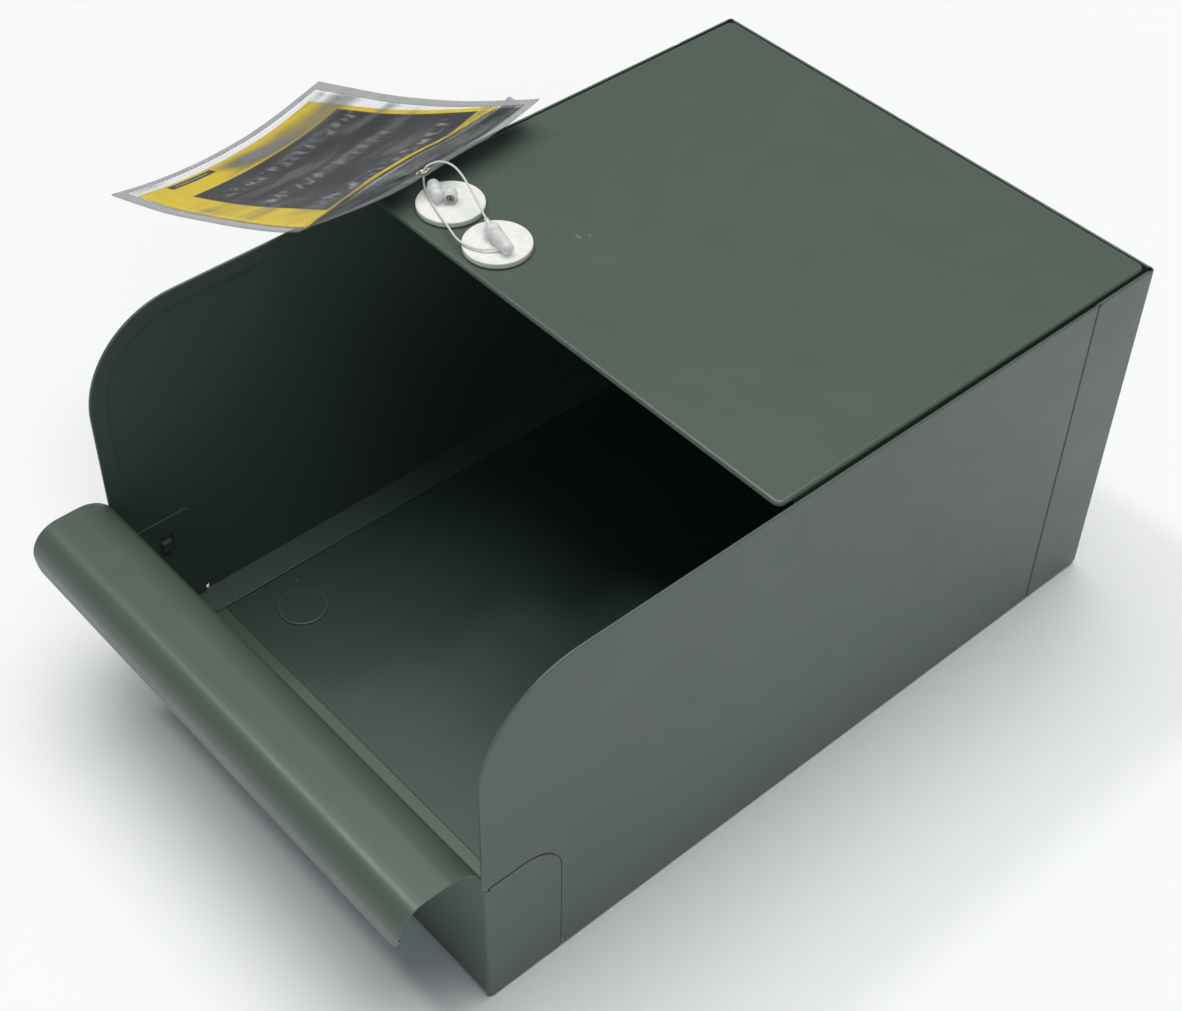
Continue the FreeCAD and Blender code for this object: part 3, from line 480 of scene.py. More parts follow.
def pocket_film(name, milky, shade_ahead, corners):
    """Clear flexible film: nearly unseen over the card and milky in its weld, with painted light: ahead of
    the card a dark, nearly opaque tint is painted shade of the inside seen through it, and pale streaks and
    a soft lighter patch are painted reflections.
    """
    film = Finish(name, IOR=1.05)
    axes = label_axes(film)
    window = inside(film, axes, corners, 0.7)
    ahead = film.add("ShaderNodeAttribute", attribute_name="ahead_of_card").outputs["Fac"]
    place = film.place("UV", scale=(*CHART_SIZE, 1.0))
    # Painted reflections: pale streaks and a soft lighter patch raise the film's alpha over the card and
    # lighten its tint ahead of the card.
    reflection_haze = film.streaks((2.2, 7.5), math.radians(24.0), 2.0, 0.55)
    reflection_streak = film.streaks((6.0, 26.0), math.radians(-7.0), 3.0, 0.55)
    dull = film.noise(place, 0.09, 4.0, 0.6)
    painted_reflection = film.remap(reflection_haze, 0.46, 0.64, 0.0, 0.42, smooth=True)
    reflection_band = inside(film, axes, [(80.0, 149.0), (80.0, 171.0), (-15.0, 168.0), (-15.0, 152.0)], 7.0)
    painted_reflection = film.math("MULTIPLY_ADD", reflection_band, 0.42, painted_reflection)
    over = film.math("ADD", painted_reflection, film.spread(dull, 0.07, 0.15))
    # Ahead of the card the film is nearly opaque and dark: painted shade of the inside seen through it,
    # lightened along the painted reflection streaks.
    through = film.blend(ahead, over, film.remap(reflection_streak, 0.35, 0.65, 0.86, 0.70))
    alpha = film.blend(window, film.spread(dull, 0.66, 0.80), through)
    facing = film.math("SUBTRACT", 1.0, film.add("ShaderNodeNewGeometry").outputs["Backfacing"])
    film.set("Alpha", film.math("MULTIPLY", alpha, facing, clamp=True))
    tint = film.mix(film.remap(reflection_streak, 0.38, 0.66), shade_ahead, [3.4 * c for c in shade_ahead])
    tint = film.mix(film.math("MULTIPLY", ahead, window), milky, tint)
    film.set("Base Color", film.shade(tint, film.spread(dull, 0.9, 1.1)))
    film.set("Roughness", film.spread(dull, 0.12, 0.26))
    ripple = film.streaks((14.0, 9.0), 0.0, 3.0, 0.5)
    film.set("Normal", film.bump(ripple, 0.0002))
    return film.material


def pocket_ridge(name, colour, alpha):
    """The raised marks of the weld, a little milkier than the film."""
    ridge = Finish(name, Roughness=0.22, IOR=1.3)
    cloud = ridge.noise(ridge.place(), 320.0, 2.0)
    ridge.set("Base Color", ridge.shade(colour, ridge.spread(cloud, 0.9, 1.1)))
    ridge.set("Alpha", ridge.spread(cloud, alpha - 0.08, alpha + 0.08))
    return ridge.material


def studio_floor(name, colour):
    """Pale matt floor with the faintest mottling."""
    ground = Finish(name, Specular_IOR_Level=0.1)
    cloud = ground.noise(ground.place(), 1.4, 2.0)
    ground.set("Base Color", ground.shade(colour, ground.spread(cloud, 0.995, 1.005)))
    ground.set("Roughness", ground.spread(cloud, 0.85, 0.95))
    return ground.material


def finish_named(name, make, *values, **options):
    """A material by name, made the first time it is asked for."""
    return bpy.data.materials.get(name) or make(name, *values, **options)


# ------------------------------------------------------------------ meshes
def mm(*values):
    """A point given in millimetres, in metres."""
    return Vector(values) * MM


def piece(name, shape, body, materials, replaces=()):
    """Puts a finished shape in the scene on its body, materials and what it stands for."""
    mesh = shape if isinstance(shape, bpy.types.Mesh) else mesh_of(shape, name)
    made = bpy.data.objects.new(name, mesh)
    bpy.context.scene.collection.objects.link(made)
    for material in materials:
        if material.name not in made.data.materials:
            made.data.materials.append(material)
    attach(made, body)
    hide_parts(*replaces)
    return made


def mesh_of(work, name, smooth=True):
    """A mesh from working geometry."""
    mesh = bpy.data.meshes.new(name)
    work.to_mesh(mesh)
    work.free()
    if smooth:
        mesh.shade_smooth()
    return mesh


def merged(name):
    """A CAD node's shape with its loose triangles joined."""
    work = bmesh.new()
    work.from_mesh(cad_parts[name].data)
    bmesh.ops.remove_doubles(work, verts=work.verts, dist=1e-6)
    for face in work.faces:
        face.material_index = 0
    return work


def flat_regions(work):
    """The flat region that each face belongs to, and the area of every region."""
    work.normal_update()
    labels, areas = {}, []
    for seed in work.faces:
        if seed in labels:
            continue
        label, area, queue = len(areas), 0.0, [seed]
        labels[seed] = label
        while queue:
            face = queue.pop()
            area += face.calc_area()
            for edge in face.edges:
                for near in edge.link_faces:
                    if near not in labels and near.normal.dot(face.normal) > FLAT:
                        labels[near] = label
                        queue.append(near)
        areas.append(area)
    return labels, areas


def even_shading(made, sharp):
    """Keeps flats flat and curves smooth in the light; faces that meet past an angle keep a crease."""
    limit = math.cos(math.radians(sharp))
    work = bmesh.new()
    work.from_mesh(made.data)
    labels, areas = flat_regions(work)
    normals = []
    for face in work.faces:
        for loop in face.loops:
            shares = {}
            for near in loop.vert.link_faces:
                if near.normal.dot(face.normal) > limit:
                    shares[labels[near]] = near.normal * areas[labels[near]]
            total = sum(shares.values(), Vector())
            normals.append((total if total.length > 0.0 else face.normal).normalized())
    work.free()
    made.data.normals_split_custom_set(normals)


def rounded(made, width, segments):
    """Rounds the sharp edges of a small plain piece."""
    bevel = made.modifiers.new("Rounded Edges", "BEVEL")
    bevel.width = width
    bevel.segments = segments
    bevel.limit_method = "ANGLE"
    bevel.angle_limit = math.radians(40.0)
    made.modifiers.new("Even Shading", "WEIGHTED_NORMAL")


def frame_from(axis):
    """A turn that takes +Z to an axis."""
    return Vector(axis).normalized().to_track_quat("Z", "Y").to_matrix()


def turn(work, profile, at, axis=(0, 0, 1), segments=48, closed=False, material=0):
    """Turns a profile of (radius, height) in mm about an axis through a point; closed makes a ring."""
    turned = frame_from(axis)
    rings = []
    for radius, height in profile:
        if radius < 1e-6:
            rings.append([work.verts.new((Vector(at) + turned @ Vector((0, 0, height))) * MM)])
            continue
        ring = []
        for step in range(segments):
            angle = 2.0 * math.pi * step / segments
            spot = Vector((radius * math.cos(angle), radius * math.sin(angle), height))
            ring.append(work.verts.new((Vector(at) + turned @ spot) * MM))
        rings.append(ring)
    for lower, upper in around(rings) if closed else zip(rings, rings[1:]):
        for step in range(segments):
            following = (step + 1) % segments
            corners = [lower[step % len(lower)], lower[following % len(lower)],
                       upper[following % len(upper)], upper[step % len(upper)]]
            unique = list(dict.fromkeys(corners))
            work.faces.new(unique).material_index = material


def arc_profile(centre, radius, start, end, steps):
    """Points of an arc in a profile, angles in degrees from the outward direction."""
    points = []
    for step in range(steps + 1):
        angle = math.radians(start + (end - start) * step / steps)
        points.append((centre[0] + radius * math.cos(angle), centre[1] + radius * math.sin(angle)))
    return points


def around(ring):
    """Each item of a ring with the next one."""
    return zip(ring, ring[1:] + ring[:1])


def smoothstep(value):
    value = min(1.0, max(0.0, value))
    return value * value * (3.0 - 2.0 * value)


# ------------------------------------------------------------------ geometry nodes
class Graph(Nodes):
    """A geometry node tree with named inputs; each one's kind follows from the value that it starts with."""
    kinds = {float: "NodeSocketFloat", int: "NodeSocketInt", tuple: "NodeSocketVector"}

    def __init__(self, name, inputs):
        super().__init__(bpy.data.node_groups.new(name, "GeometryNodeTree"))
        self.identifiers = {}
        self.socket("Geometry", "NodeSocketGeometry")
        self.tree.interface.new_socket("Geometry", in_out="OUTPUT", socket_type="NodeSocketGeometry")
        for key, value in inputs.items():
            self.socket(key, self.kinds[type(value)], value)
        self.socket("Material", "NodeSocketMaterial")
        self.source = self.add("NodeGroupInput")
        self.result = self.add("NodeGroupOutput")

    def socket(self, name, kind, default=None):
        made = self.tree.interface.new_socket(name, in_out="INPUT", socket_type=kind)
        if default is not None:
            made.default_value = default
        self.identifiers[name] = made.identifier

    def get(self, name):
        return self.source.outputs[name]

    def moved(self, geometry, **changes):
        return self.add("GeometryNodeTransform", {"Geometry": geometry, **changes}).outputs["Geometry"]

    def on_points(self, points, shape, rotation=None):
        """A shape set on every point."""
        return self.add("GeometryNodeInstanceOnPoints", {
            "Points": points, "Instance": shape, "Rotation": rotation}).outputs["Instances"]

    def join(self, *parts):
        node = self.add("GeometryNodeJoinGeometry")
        for part in parts:
            self.tree.links.new(part, node.inputs["Geometry"])
        return node.outputs["Geometry"]

    def finish(self, geometry):
        """Ends the tree: instances made real, in the material that it is given."""
        real = self.add("GeometryNodeRealizeInstances", {"Geometry": geometry})
        painted = self.add("GeometryNodeSetMaterial", {
            "Geometry": real.outputs["Geometry"], "Material": self.get("Material")})
        self.feed(self.result.inputs["Geometry"], painted.outputs["Geometry"])


def grown(graph, name, values, start=None):
    """Runs a tree on a starting mesh and returns what it makes as a plain mesh."""
    carrier = bpy.data.objects.new(name, start or bpy.data.meshes.new(name))
    bpy.context.scene.collection.objects.link(carrier)
    modifier = carrier.modifiers.new(name, "NODES")
    modifier.node_group = graph.tree
    for key, value in values.items():
        modifier[graph.identifiers[key]] = value
    evaluated = carrier.evaluated_get(bpy.context.evaluated_depsgraph_get())
    mesh = bpy.data.meshes.new_from_object(evaluated)
    carrier.modifiers.remove(modifier)
    bpy.data.objects.remove(carrier)
    mesh.name = name
    return mesh


def rivet_tree():
    """Rivets on a grid of holes: a domed head and the flared tail behind."""
    graph = Graph("Rivet Grid", {
        "Across": 0.2, "Down": 0.015, "Head Radius": 0.003, "Head Height": 0.0013, "Grip": 0.002,
        "Centre": (0.0, 0.0, 0.0)})
    holes = graph.add("GeometryNodeMeshGrid", {
        "Size X": graph.get("Across"), "Size Y": graph.get("Down"), "Vertices X": 2, "Vertices Y": 2})
    dome = graph.add("GeometryNodeMeshUVSphere", {
        "Segments": 32, "Rings": 16, "Radius": graph.get("Head Radius")})
    flat = graph.math("DIVIDE", graph.get("Head Height"), graph.get("Head Radius"))
    scale = graph.add("ShaderNodeCombineXYZ", {"X": 1.0, "Y": 1.0, "Z": flat})
    head = graph.moved(dome.outputs["Mesh"], Scale=scale.outputs[0])
    narrow = graph.math("MULTIPLY", graph.get("Head Radius"), 0.8)
    flare = graph.add("GeometryNodeMeshUVSphere", {"Segments": 32, "Rings": 12, "Radius": narrow})
    back = graph.math("MULTIPLY", graph.get("Grip"), -1.0)
    behind = graph.add("ShaderNodeCombineXYZ", {"Z": back})
    tail = graph.moved(flare.outputs["Mesh"], Translation=behind.outputs[0], Scale=(1.0, 1.0, 0.28))
    row = graph.on_points(holes.outputs["Mesh"], graph.join(head, tail))
    placed = graph.moved(row, Translation=graph.get("Centre"), Rotation=(-math.pi / 2.0, 0.0, 0.0))
    smooth = graph.add("GeometryNodeSetShadeSmooth", {"Geometry": placed})
    graph.finish(smooth.outputs["Geometry"])
    return graph


def tread_tree():
    """Ribs that stand like spokes round a centre, for the underside of a foot."""
    graph = Graph("Foot Tread", {
        "Count": 12, "Ring Radius": 0.0065, "Rib Size": (0.0045, 0.0009, 0.0005)})
    ring = graph.add("GeometryNodeMeshCircle", {
        "Vertices": graph.get("Count"), "Radius": graph.get("Ring Radius")})
    rib = graph.add("GeometryNodeMeshCube", {
        "Size": graph.get("Rib Size"), "Vertices X": 2, "Vertices Y": 2, "Vertices Z": 2})
    outward = graph.add("GeometryNodeInputPosition")
    facing = graph.add(
        "FunctionNodeAlignRotationToVector", {"Vector": outward.outputs[0]}, axis="X", pivot_axis="Z")
    ribs = graph.on_points(ring.outputs["Mesh"], rib.outputs["Mesh"], facing.outputs[0])
    graph.finish(graph.on_points(graph.get("Geometry"), ribs))
    return graph


def weld_tree():
    """A bead along a path, with fine ribs set across it at a spacing, as a heated bar leaves them."""
    graph = Graph("Weld Bead", {
        "Bead Radius": 0.00022, "Rib Spacing": 0.003, "Rib Size": (0.0042, 0.00045, 0.0007)})
    path = graph.add("GeometryNodeMeshToCurve", {"Mesh": graph.get("Geometry")})
    profile = graph.add("GeometryNodeCurvePrimitiveCircle", {
        "Resolution": 6, "Radius": graph.get("Bead Radius")})
    bead = graph.add("GeometryNodeCurveToMesh", {
        "Curve": path.outputs["Curve"], "Profile Curve": profile.outputs["Curve"], "Fill Caps": True})
    spots = graph.add("GeometryNodeCurveToPoints", {
        "Curve": path.outputs["Curve"], "Length": graph.get("Rib Spacing")}, mode="LENGTH")
    rib = graph.add("GeometryNodeMeshCube", {"Size": graph.get("Rib Size")})
    ribs = graph.on_points(spots.outputs["Points"], rib.outputs["Mesh"], spots.outputs["Rotation"])
    graph.finish(graph.join(bead.outputs["Mesh"], ribs))
    return graph


# ------------------------------------------------------------------ camera and elastic
class DROPBOX_OT_camera(bpy.types.Operator):
    """Place the camera above the front right corner"""
    bl_idname = "dropbox.camera"
    bl_label = "Camera"

    def execute(self, context):
        azimuth, elevation, roll = (math.radians(angle) for angle in CAMERA_ANGLES)
        forward = Vector((-math.sin(azimuth) * math.cos(elevation),
                          math.cos(azimuth) * math.cos(elevation), -math.sin(elevation)))
        level = forward.cross(UP).normalized()
        upright = level.cross(forward)
        right = level * math.cos(roll) + upright * math.sin(roll)
        data = bpy.data.cameras.new("Studio Camera")
        data.lens = CAMERA_LENS
        data.sensor_width = 36.0
        data.clip_start = 0.01
        camera = bpy.data.objects.new("studio_camera", data)
        turned = Matrix((right, right.cross(forward), -forward)).transposed().to_4x4()
        camera.matrix_world = Matrix.Translation(Vector(CAMERA_PLACE)) @ turned
        context.scene.collection.objects.link(camera)
        context.scene.camera = camera
        return {"FINISHED"}


class DROPBOX_OT_elastic(bpy.types.Operator):
    """Lay the elastic from clip to clip through the pocket's eyelet"""
    bl_idname = "dropbox.elastic"
    bl_label = "Elastic Loop"

    def execute(self, context):
        settings = context.scene.dropbox_tether
        curve = bpy.data.curves.new("elastic_tether", "CURVE")
        curve.dimensions = "3D"
        curve.bevel_depth = settings.diameter / 2.0
        curve.bevel_resolution = 3
        curve.use_fill_caps = True
        spline = curve.splines.new("NURBS")
        spline.points.add(len(LOOP_ROUTE) - 1)
        for point, place in zip(spline.points, LOOP_ROUTE):
            point.co = (*mm(*place), 1.0)
        spline.order_u = 3
        spline.use_endpoint_u = True
        spline.resolution_u = 10
        spline.use_smooth = True
        curve.materials.append(finish_named(
            "Braided Elastic", braided_elastic, settings.elastic, LOOP_LENGTH, settings.diameter))
        loop = bpy.data.objects.new("elastic_tether", curve)
        context.scene.collection.objects.link(loop)
        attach(loop, "lid_body")
        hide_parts("elastic_loop")
        return {"FINISHED"}


# ------------------------------------------------------------------ steel body and lid
def painted(node, body, slot, scuffs=(), painted_floor_shade=False):
    """A powder-coated copy of a folded sheet, evenly shaded; its edges and small folds get a lighter coat as
    painted highlight, and a floor pan gets a darker coat as painted shade.
    """
    paint = bpy.context.scene.dropbox_paint
    # The floor pan takes its darker, greener coat as painted shade.
    kind = "Scuffed Powder Coat" if scuffs else "Floor Pan Coat" if painted_floor_shade else "Powder Coat"
    colour = paint.inner if painted_floor_shade else paint.colour
    faces = finish_named(kind, powder_coat, colour, paint.gloss, scuffs=scuffs)
    # Painted highlight: edges and small folds get the same coat made lighter by a tone of 1.10.
    edges = finish_named("Powder Coat On Edges", powder_coat, paint.colour, paint.gloss - 0.05, tone=1.10)
    work = merged(node)
    labels, areas = flat_regions(work)
    longest = [0.0] * len(areas)
    for face, label in labels.items():
        longest[label] = max([longest[label]] + [edge.calc_length() for edge in face.edges])
    for face, label in labels.items():
        face.material_index = 1 if areas[label] < longest[label] * paint.edge else 0
    made = piece("painted_" + node, work, body, [faces, edges], [node])
    even_shading(made, CREASE)


class DROPBOX_OT_panels(bpy.types.Operator):
    """Fold the side, front and rear panels and the floor"""
    bl_idname = "dropbox.panels"
    bl_label = "Body Panels"

    def execute(self, context):
        for node in ("side_panel_left", "side_panel_right", "front_panel", "rear_panel"):
            painted(node, "root", "body_steel")
        painted("floor_pan", "root", "body_steel", painted_floor_shade=True)
        return {"FINISHED"}


class DROPBOX_OT_lock_plates(bpy.types.Operator):
    """Make the plates that lock the corner folds"""
    bl_idname = "dropbox.lock_plates"
    bl_label = "Lock Plates"

    def execute(self, context):
        for place in ("front_left", "front_right", "rear_left", "rear_right"):
            painted("lock_plate_" + place, "root", "hardware_steel")
        return {"FINISHED"}


class DROPBOX_OT_lid(bpy.types.Operator):
    """Fold the lid, with two small scuffs in its coat"""
    bl_idname = "dropbox.lid"
    bl_label = "Lid"

    def execute(self, context):
        scuffs = (
            (mm(-52.0, 228.0, LID_TOP), mm(3.4, 1.0, 3.0), math.radians(60.0)),
            (mm(-49.0, 233.0, LID_TOP), mm(1.8, 0.8, 3.0), math.radians(35.0)),
        )
        painted("lid", "lid_body", "body_steel", scuffs)
        return {"FINISHED"}


class DROPBOX_OT_hinges(bpy.types.Operator):
    """Make both hinges: brackets, lugs and headed pins"""
    bl_idname = "dropbox.hinges"
    bl_label = "Hinges"

    def execute(self, context):
        plated = finish_named("Plated Steel", plated_steel)
        for side in ("left", "right"):
            painted("hinge_bracket_" + side, "root", "hardware_steel")
            painted("hinge_lug_" + side, "lid_body", "hardware_steel")
            name = "plated_hinge_pin_" + side
            node = "hinge_pin_" + side
            pin = piece(name, merged(node), "root", [plated], [node])
            even_shading(pin, CREASE)
        return {"FINISHED"}


class DROPBOX_OT_rivets(bpy.types.Operator):
    """Set the rivets that hold the hinge brackets"""
    bl_idname = "dropbox.rivets"
    bl_label = "Rivets"

    def execute(self, context):
        plated = finish_named("Plated Steel", plated_steel)
        middle = HINGE_AXIS[1] - sum(RIVET_DROPS) / 2.0
        mesh = grown(rivet_tree(), "domed_rivets", {
            "Across": 2.0 * HINGE_X * MM,
            "Down": (RIVET_DROPS[1] - RIVET_DROPS[0]) * MM,
            "Head Radius": RIVET_HEAD[0] * MM,
            "Head Height": RIVET_HEAD[1] * MM,
            "Grip": RIVET_GRIP * MM,
            "Centre": mm(0.0, REAR_FACE, middle),
            "Material": plated,
        })
        piece("domed_rivets", mesh, "root", [plated], ["bracket_rivets"])
        return {"FINISHED"}


class DROPBOX_OT_lid_rests(bpy.types.Operator):
    """Make the rests inside the side panels that carry the lid, with their pads"""
    bl_idname = "dropbox.lid_rests"
    bl_label = "Lid Rests"

    def execute(self, context):
        foam = finish_named("Cellular Rubber", rubber, *FOAM)
        for side in ("left", "right"):
            painted("lid_rest_" + side, "root", "hardware_steel")
            name = "lid_pad_" + side
            node = "lid_rest_pad_" + side
            work = merged(node)
            bmesh.ops.subdivide_edges(work, edges=work.edges, cuts=3, use_grid_fill=True)
            pad = piece(name, work, "root", [foam], [node])
            rounded(pad, 0.4 * MM, segments=3)
        return {"FINISHED"}


class DROPBOX_OT_feet(bpy.types.Operator):
    """Mould the four feet and the spokes under them"""
    bl_idname = "dropbox.feet"
    bl_label = "Feet"

    def execute(self, context):
        tread = finish_named("Foot Rubber", rubber, FOOT_RUBBER)
        rim = arc_profile((10.9, 0.6), 0.6, -90.0, 0.0, 5)
        profile = ([(0.0, 0.5), (2.4, 0.5), (2.6, 0.05), (3.4, 0.0), (3.8, 0.5), (9.2, 0.5), (9.6, 0.0)]
                   + rim + [(11.4, 2.5), (11.3, 2.7), (0.0, 2.7)])
        for place, (x, y) in FEET.items():
            name = "rubber_foot_" + place
            work = bmesh.new()
            turn(work, profile, (x, y, 0.0), segments=56)
            foot = piece(name, work, "root", [tread], ["foot_" + place])
            even_shading(foot, MOULDED_CREASE)
        centres = bpy.data.meshes.new("tread_centres")
        centres.from_pydata([mm(x, y, 0.3) for x, y in FEET.values()], [], [])
        mesh = grown(tread_tree(), "foot_treads", {
            "Count": 14, "Ring Radius": 6.5 * MM, "Rib Size": mm(5.2, 0.9, 0.56), "Material": tread},
            centres)
        piece("foot_treads", mesh, "root", [tread])
        return {"FINISHED"}


# ------------------------------------------------------------------ bases, clips and eyelet
class DROPBOX_OT_bases(bpy.types.Operator):
    """Turn the two round adhesive bases on the lid"""
    bl_idname = "dropbox.bases"
    bl_label = "Adhesive Bases"

    def execute(self, context):
        settings = context.scene.dropbox_tether
        white = finish_named("White Plastic", moulded_plastic, settings.base)
        tape = finish_named("Adhesive Tape", rubber, *TAPE)
        rounding = arc_profile((17.15, 2.9), 0.7, 0.0, 90.0, 6)
        body = ([(0.0, 0.45), (17.3, 0.45), (17.7, 0.55), (17.85, 0.8)] + rounding
                + [(16.2, 3.58), (14.0, 3.52), (6.4, 3.50), (5.9, 3.54), (5.5, 3.60), (0.0, 3.60)])
        pad = [(0.0, 0.0), (17.05, 0.0), (17.2, 0.2), (17.05, 0.45), (0.0, 0.45)]
        for side, (x, y) in (("left", DISC_LEFT), ("right", DISC_RIGHT)):
            name = "adhesive_base_" + side
            work = bmesh.new()
            turn(work, body, (x, y, LID_TOP), segments=96)
            turn(work, pad, (x, y, LID_TOP), segments=96, material=1)
            node = "base_disc_" + side
            base = piece(name, work, "lid_body", [white, tape], [node])
            even_shading(base, MOULDED_CREASE)
        return {"FINISHED"}


def capsule_profile(radius, length, steps=6):
    """A barrel with round ends, as a profile along its axis."""
    angles = [math.radians(90.0 * step / steps) for step in range(steps + 1)]
    lower = [(radius * math.sin(angle), -radius * math.cos(angle)) for angle in angles]
    upper = [(r, length - h) for r, h in reversed(lower)]
    return lower + upper


class DROPBOX_OT_clips(bpy.types.Operator):
    """Mould the two clear clips that hold the elastic"""
    bl_idname = "dropbox.clips"
    bl_label = "Tether Clips"

    def execute(self, context):
        clear = finish_named("Milky Clear Plastic", clear_plastic, *CLEAR_PLASTIC)
        bore_shade = finish_named("Shaded Bore", clear_plastic, *SHADED_BORE)
        brass = finish_named("Bright Eyelet Metal", bright_eyelet)
        self.left(DISC_LEFT, [clear, bore_shade, brass])
        self.right(DISC_RIGHT, [clear, bore_shade, brass])
        return {"FINISHED"}

    def left(self, place, materials):
        x, y = place
        work = bmesh.new()
        foot = [(0.0, 0.0), (3.7, 0.0), (3.8, 0.35), (3.3, 0.8), (2.3, 1.2), (0.0, 1.2)]
        turn(work, foot, (x - 1.0, y + 1.0, CLIP_FLOOR), segments=40)
        facing = Vector((0.74, -0.66, -0.05))
        ball = Vector((x - 0.6, y + 0.6, CLIP_FLOOR + 3.8))
        cup = ([(0.0, -3.7)] + arc_profile((0.0, 0.0), 3.7, -80.0, 36.0, 12)
               + [(3.0, 2.9), (2.95, 3.9), (2.75, 4.05), (2.45, 3.9), (2.4, 2.6)])
        turn(work, cup + [(2.35, 0.8), (0.0, 0.6)], ball, facing, segments=40)
        # The plug inside the cup's mouth takes the darker material: painted shade in the recess.
        bore = [(0.0, 0.7), (2.0, 0.7), (2.1, 1.6), (1.5, 2.3), (0.0, 2.1)]
        turn(work, bore, ball, facing, 24, material=1)
        tip = [(0.0, 2.0), (0.5, 2.0), (0.55, 3.3), (0.3, 3.6), (0.0, 3.65)]
        for across, high in ((-0.8, 0.35), (0.85, 0.5)):
            bit = ball + Vector((0.66 * across, 0.74 * across, high))
            turn(work, tip, bit, facing, 16, material=2)
        start = Vector((x - 1.0, y + 0.5, CLIP_FLOOR + 3.6))
        strut = Vector((x - 5.0, y - 3.8, CLIP_FLOOR + 3.6)) - start
        waist = [(r * (1.0 - 0.28 * math.sin(math.pi * max(0.0, min(1.0, h / strut.length)))), h)
                 for r, h in capsule_profile(1.3, strut.length)]
        turn(work, waist, start, strut, 24)
        start = Vector((x - 3.8, y - 5.4, CLIP_FLOOR + 4.0))
        reach = Vector((x - 11.2, y - 2.4, CLIP_FLOOR + 6.2)) - start
        barrel = [(0.0, -3.2), (1.7, -3.0), (3.0, -1.9), (3.5, -0.4), (3.5, 1.6), (3.1, 2.0), (3.1, 2.5),
                  (3.6, 2.9), (3.6, 5.8), (3.3, 7.4), (2.6, 8.8), (1.5, 9.6), (0.0, 9.9)]
        turn(work, barrel, start, reach, 36)
        self.make("clear_clip_left", work, materials, "tether_clip_left")

    def right(self, place, materials):
        x, y = place
        work = bmesh.new()
        foot = [(0.0, 0.0), (3.9, 0.0), (4.0, 0.35), (3.4, 0.9), (2.6, 1.5), (2.4, 2.6), (0.0, 2.6)]
        turn(work, foot, (x, y, CLIP_FLOOR), segments=40)
        start = Vector((x - 5.0, y + 0.6, CLIP_FLOOR + 4.4))
        end = Vector((x + 11.0, y - 2.6, CLIP_FLOOR + 3.7))
        span = (end - start).length
        barrel = [(0.0, -3.3), (2.1, -3.0), (3.4, -2.0), (4.1, -0.5), (4.2, 1.0), (4.1, 3.1), (3.6, 3.9),
                  (3.1, 4.2), (3.1, 4.7), (3.6, 5.1), (3.8, 5.9), (3.7, span * 0.6), (3.3, span),
                  (2.8, span + 1.3), (1.6, span + 2.2), (0.0, span + 2.5)]
        turn(work, barrel, start, end - start, 40)
        mouth = (Vector(LOOP_ROUTE[1]) - Vector(LOOP_ROUTE[0])).normalized()
        neck = [(0.0, -6.4), (1.9, -6.2), (2.05, -5.6), (1.75, -4.4), (1.4, -2.6), (1.15, -0.9),
                (1.1, -0.2), (0.9, 0.0), (0.0, 0.0)]
        turn(work, neck, Vector(LOOP_ROUTE[0]), mouth, 28)
        tail = (Vector(LOOP_ROUTE[-1]) - Vector(LOOP_ROUTE[-2])).normalized()
        socket = [(0.0, 0.0), (0.95, 0.0), (1.15, 0.25), (1.15, 2.6), (0.9, 3.1), (0.0, 3.2)]
        turn(work, socket, Vector(LOOP_ROUTE[-1]), tail, 24)
        self.make("clear_clip_right", work, materials[:1], "tether_clip_right")

    def make(self, name, work, materials, node):
        clip = piece(name, work, "lid_body", materials, [node])
        even_shading(clip, CLIP_CREASE)


class DROPBOX_OT_eyelet(bpy.types.Operator):
    """Roll the eyelet into the pocket's header"""
    bl_idname = "dropbox.eyelet"
    bl_label = "Pocket Eyelet"

    def execute(self, context):
        axis = POCKET_OUT * math.sin(POCKET_SLOPES[0]) + UP * math.cos(POCKET_SLOPES[0])
        flange = [(2.4, 0.0), (2.45, 0.75), (2.75, 1.10), (3.3, 1.12), (3.9, 0.95), (4.2, 0.62),
                  (4.1, 0.48), (3.2, 0.52), (2.9, 0.30)]
        ring = flange + [(r, -h) for r, h in reversed(flange[1:])]
        work = bmesh.new()
        turn(work, ring, EYELET, axis, segments=56, closed=True)
        metal = finish_named("Bright Eyelet Metal", bright_eyelet)
        bmesh.ops.recalc_face_normals(work, faces=work.faces)
        piece("rolled_eyelet", work, "label_body", [metal], ["pocket_eyelet"])
        return {"FINISHED"}


# ------------------------------------------------------------------ label pocket and card
def pocket_place(side, out, lift=0.0):
    """A point of the pocket in mm: across from its middle, out from the eyelet, up from its mid sheet."""
    total = POCKET_LENGTH + POCKET_HEADER
    change = (POCKET_SLOPES[1] - POCKET_SLOPES[0]) / total
    start = POCKET_SLOPES[0] + change * POCKET_HEADER
    slope = start + change * out
    reach = (math.sin(slope) - math.sin(start)) / change
    drop = (math.cos(start) - math.cos(slope)) / change
    depth = POCKET_TROUGH[0] + (POCKET_TROUGH[1] - POCKET_TROUGH[0]) * (out + POCKET_HEADER) / total
    curl = depth * (side / POCKET_HALF) ** 2
    upward = POCKET_OUT * math.sin(slope) + UP * math.cos(slope)
    return EYELET + POCKET_OUT * reach + POCKET_SIDE * side + UP * (curl - drop) + upward * lift


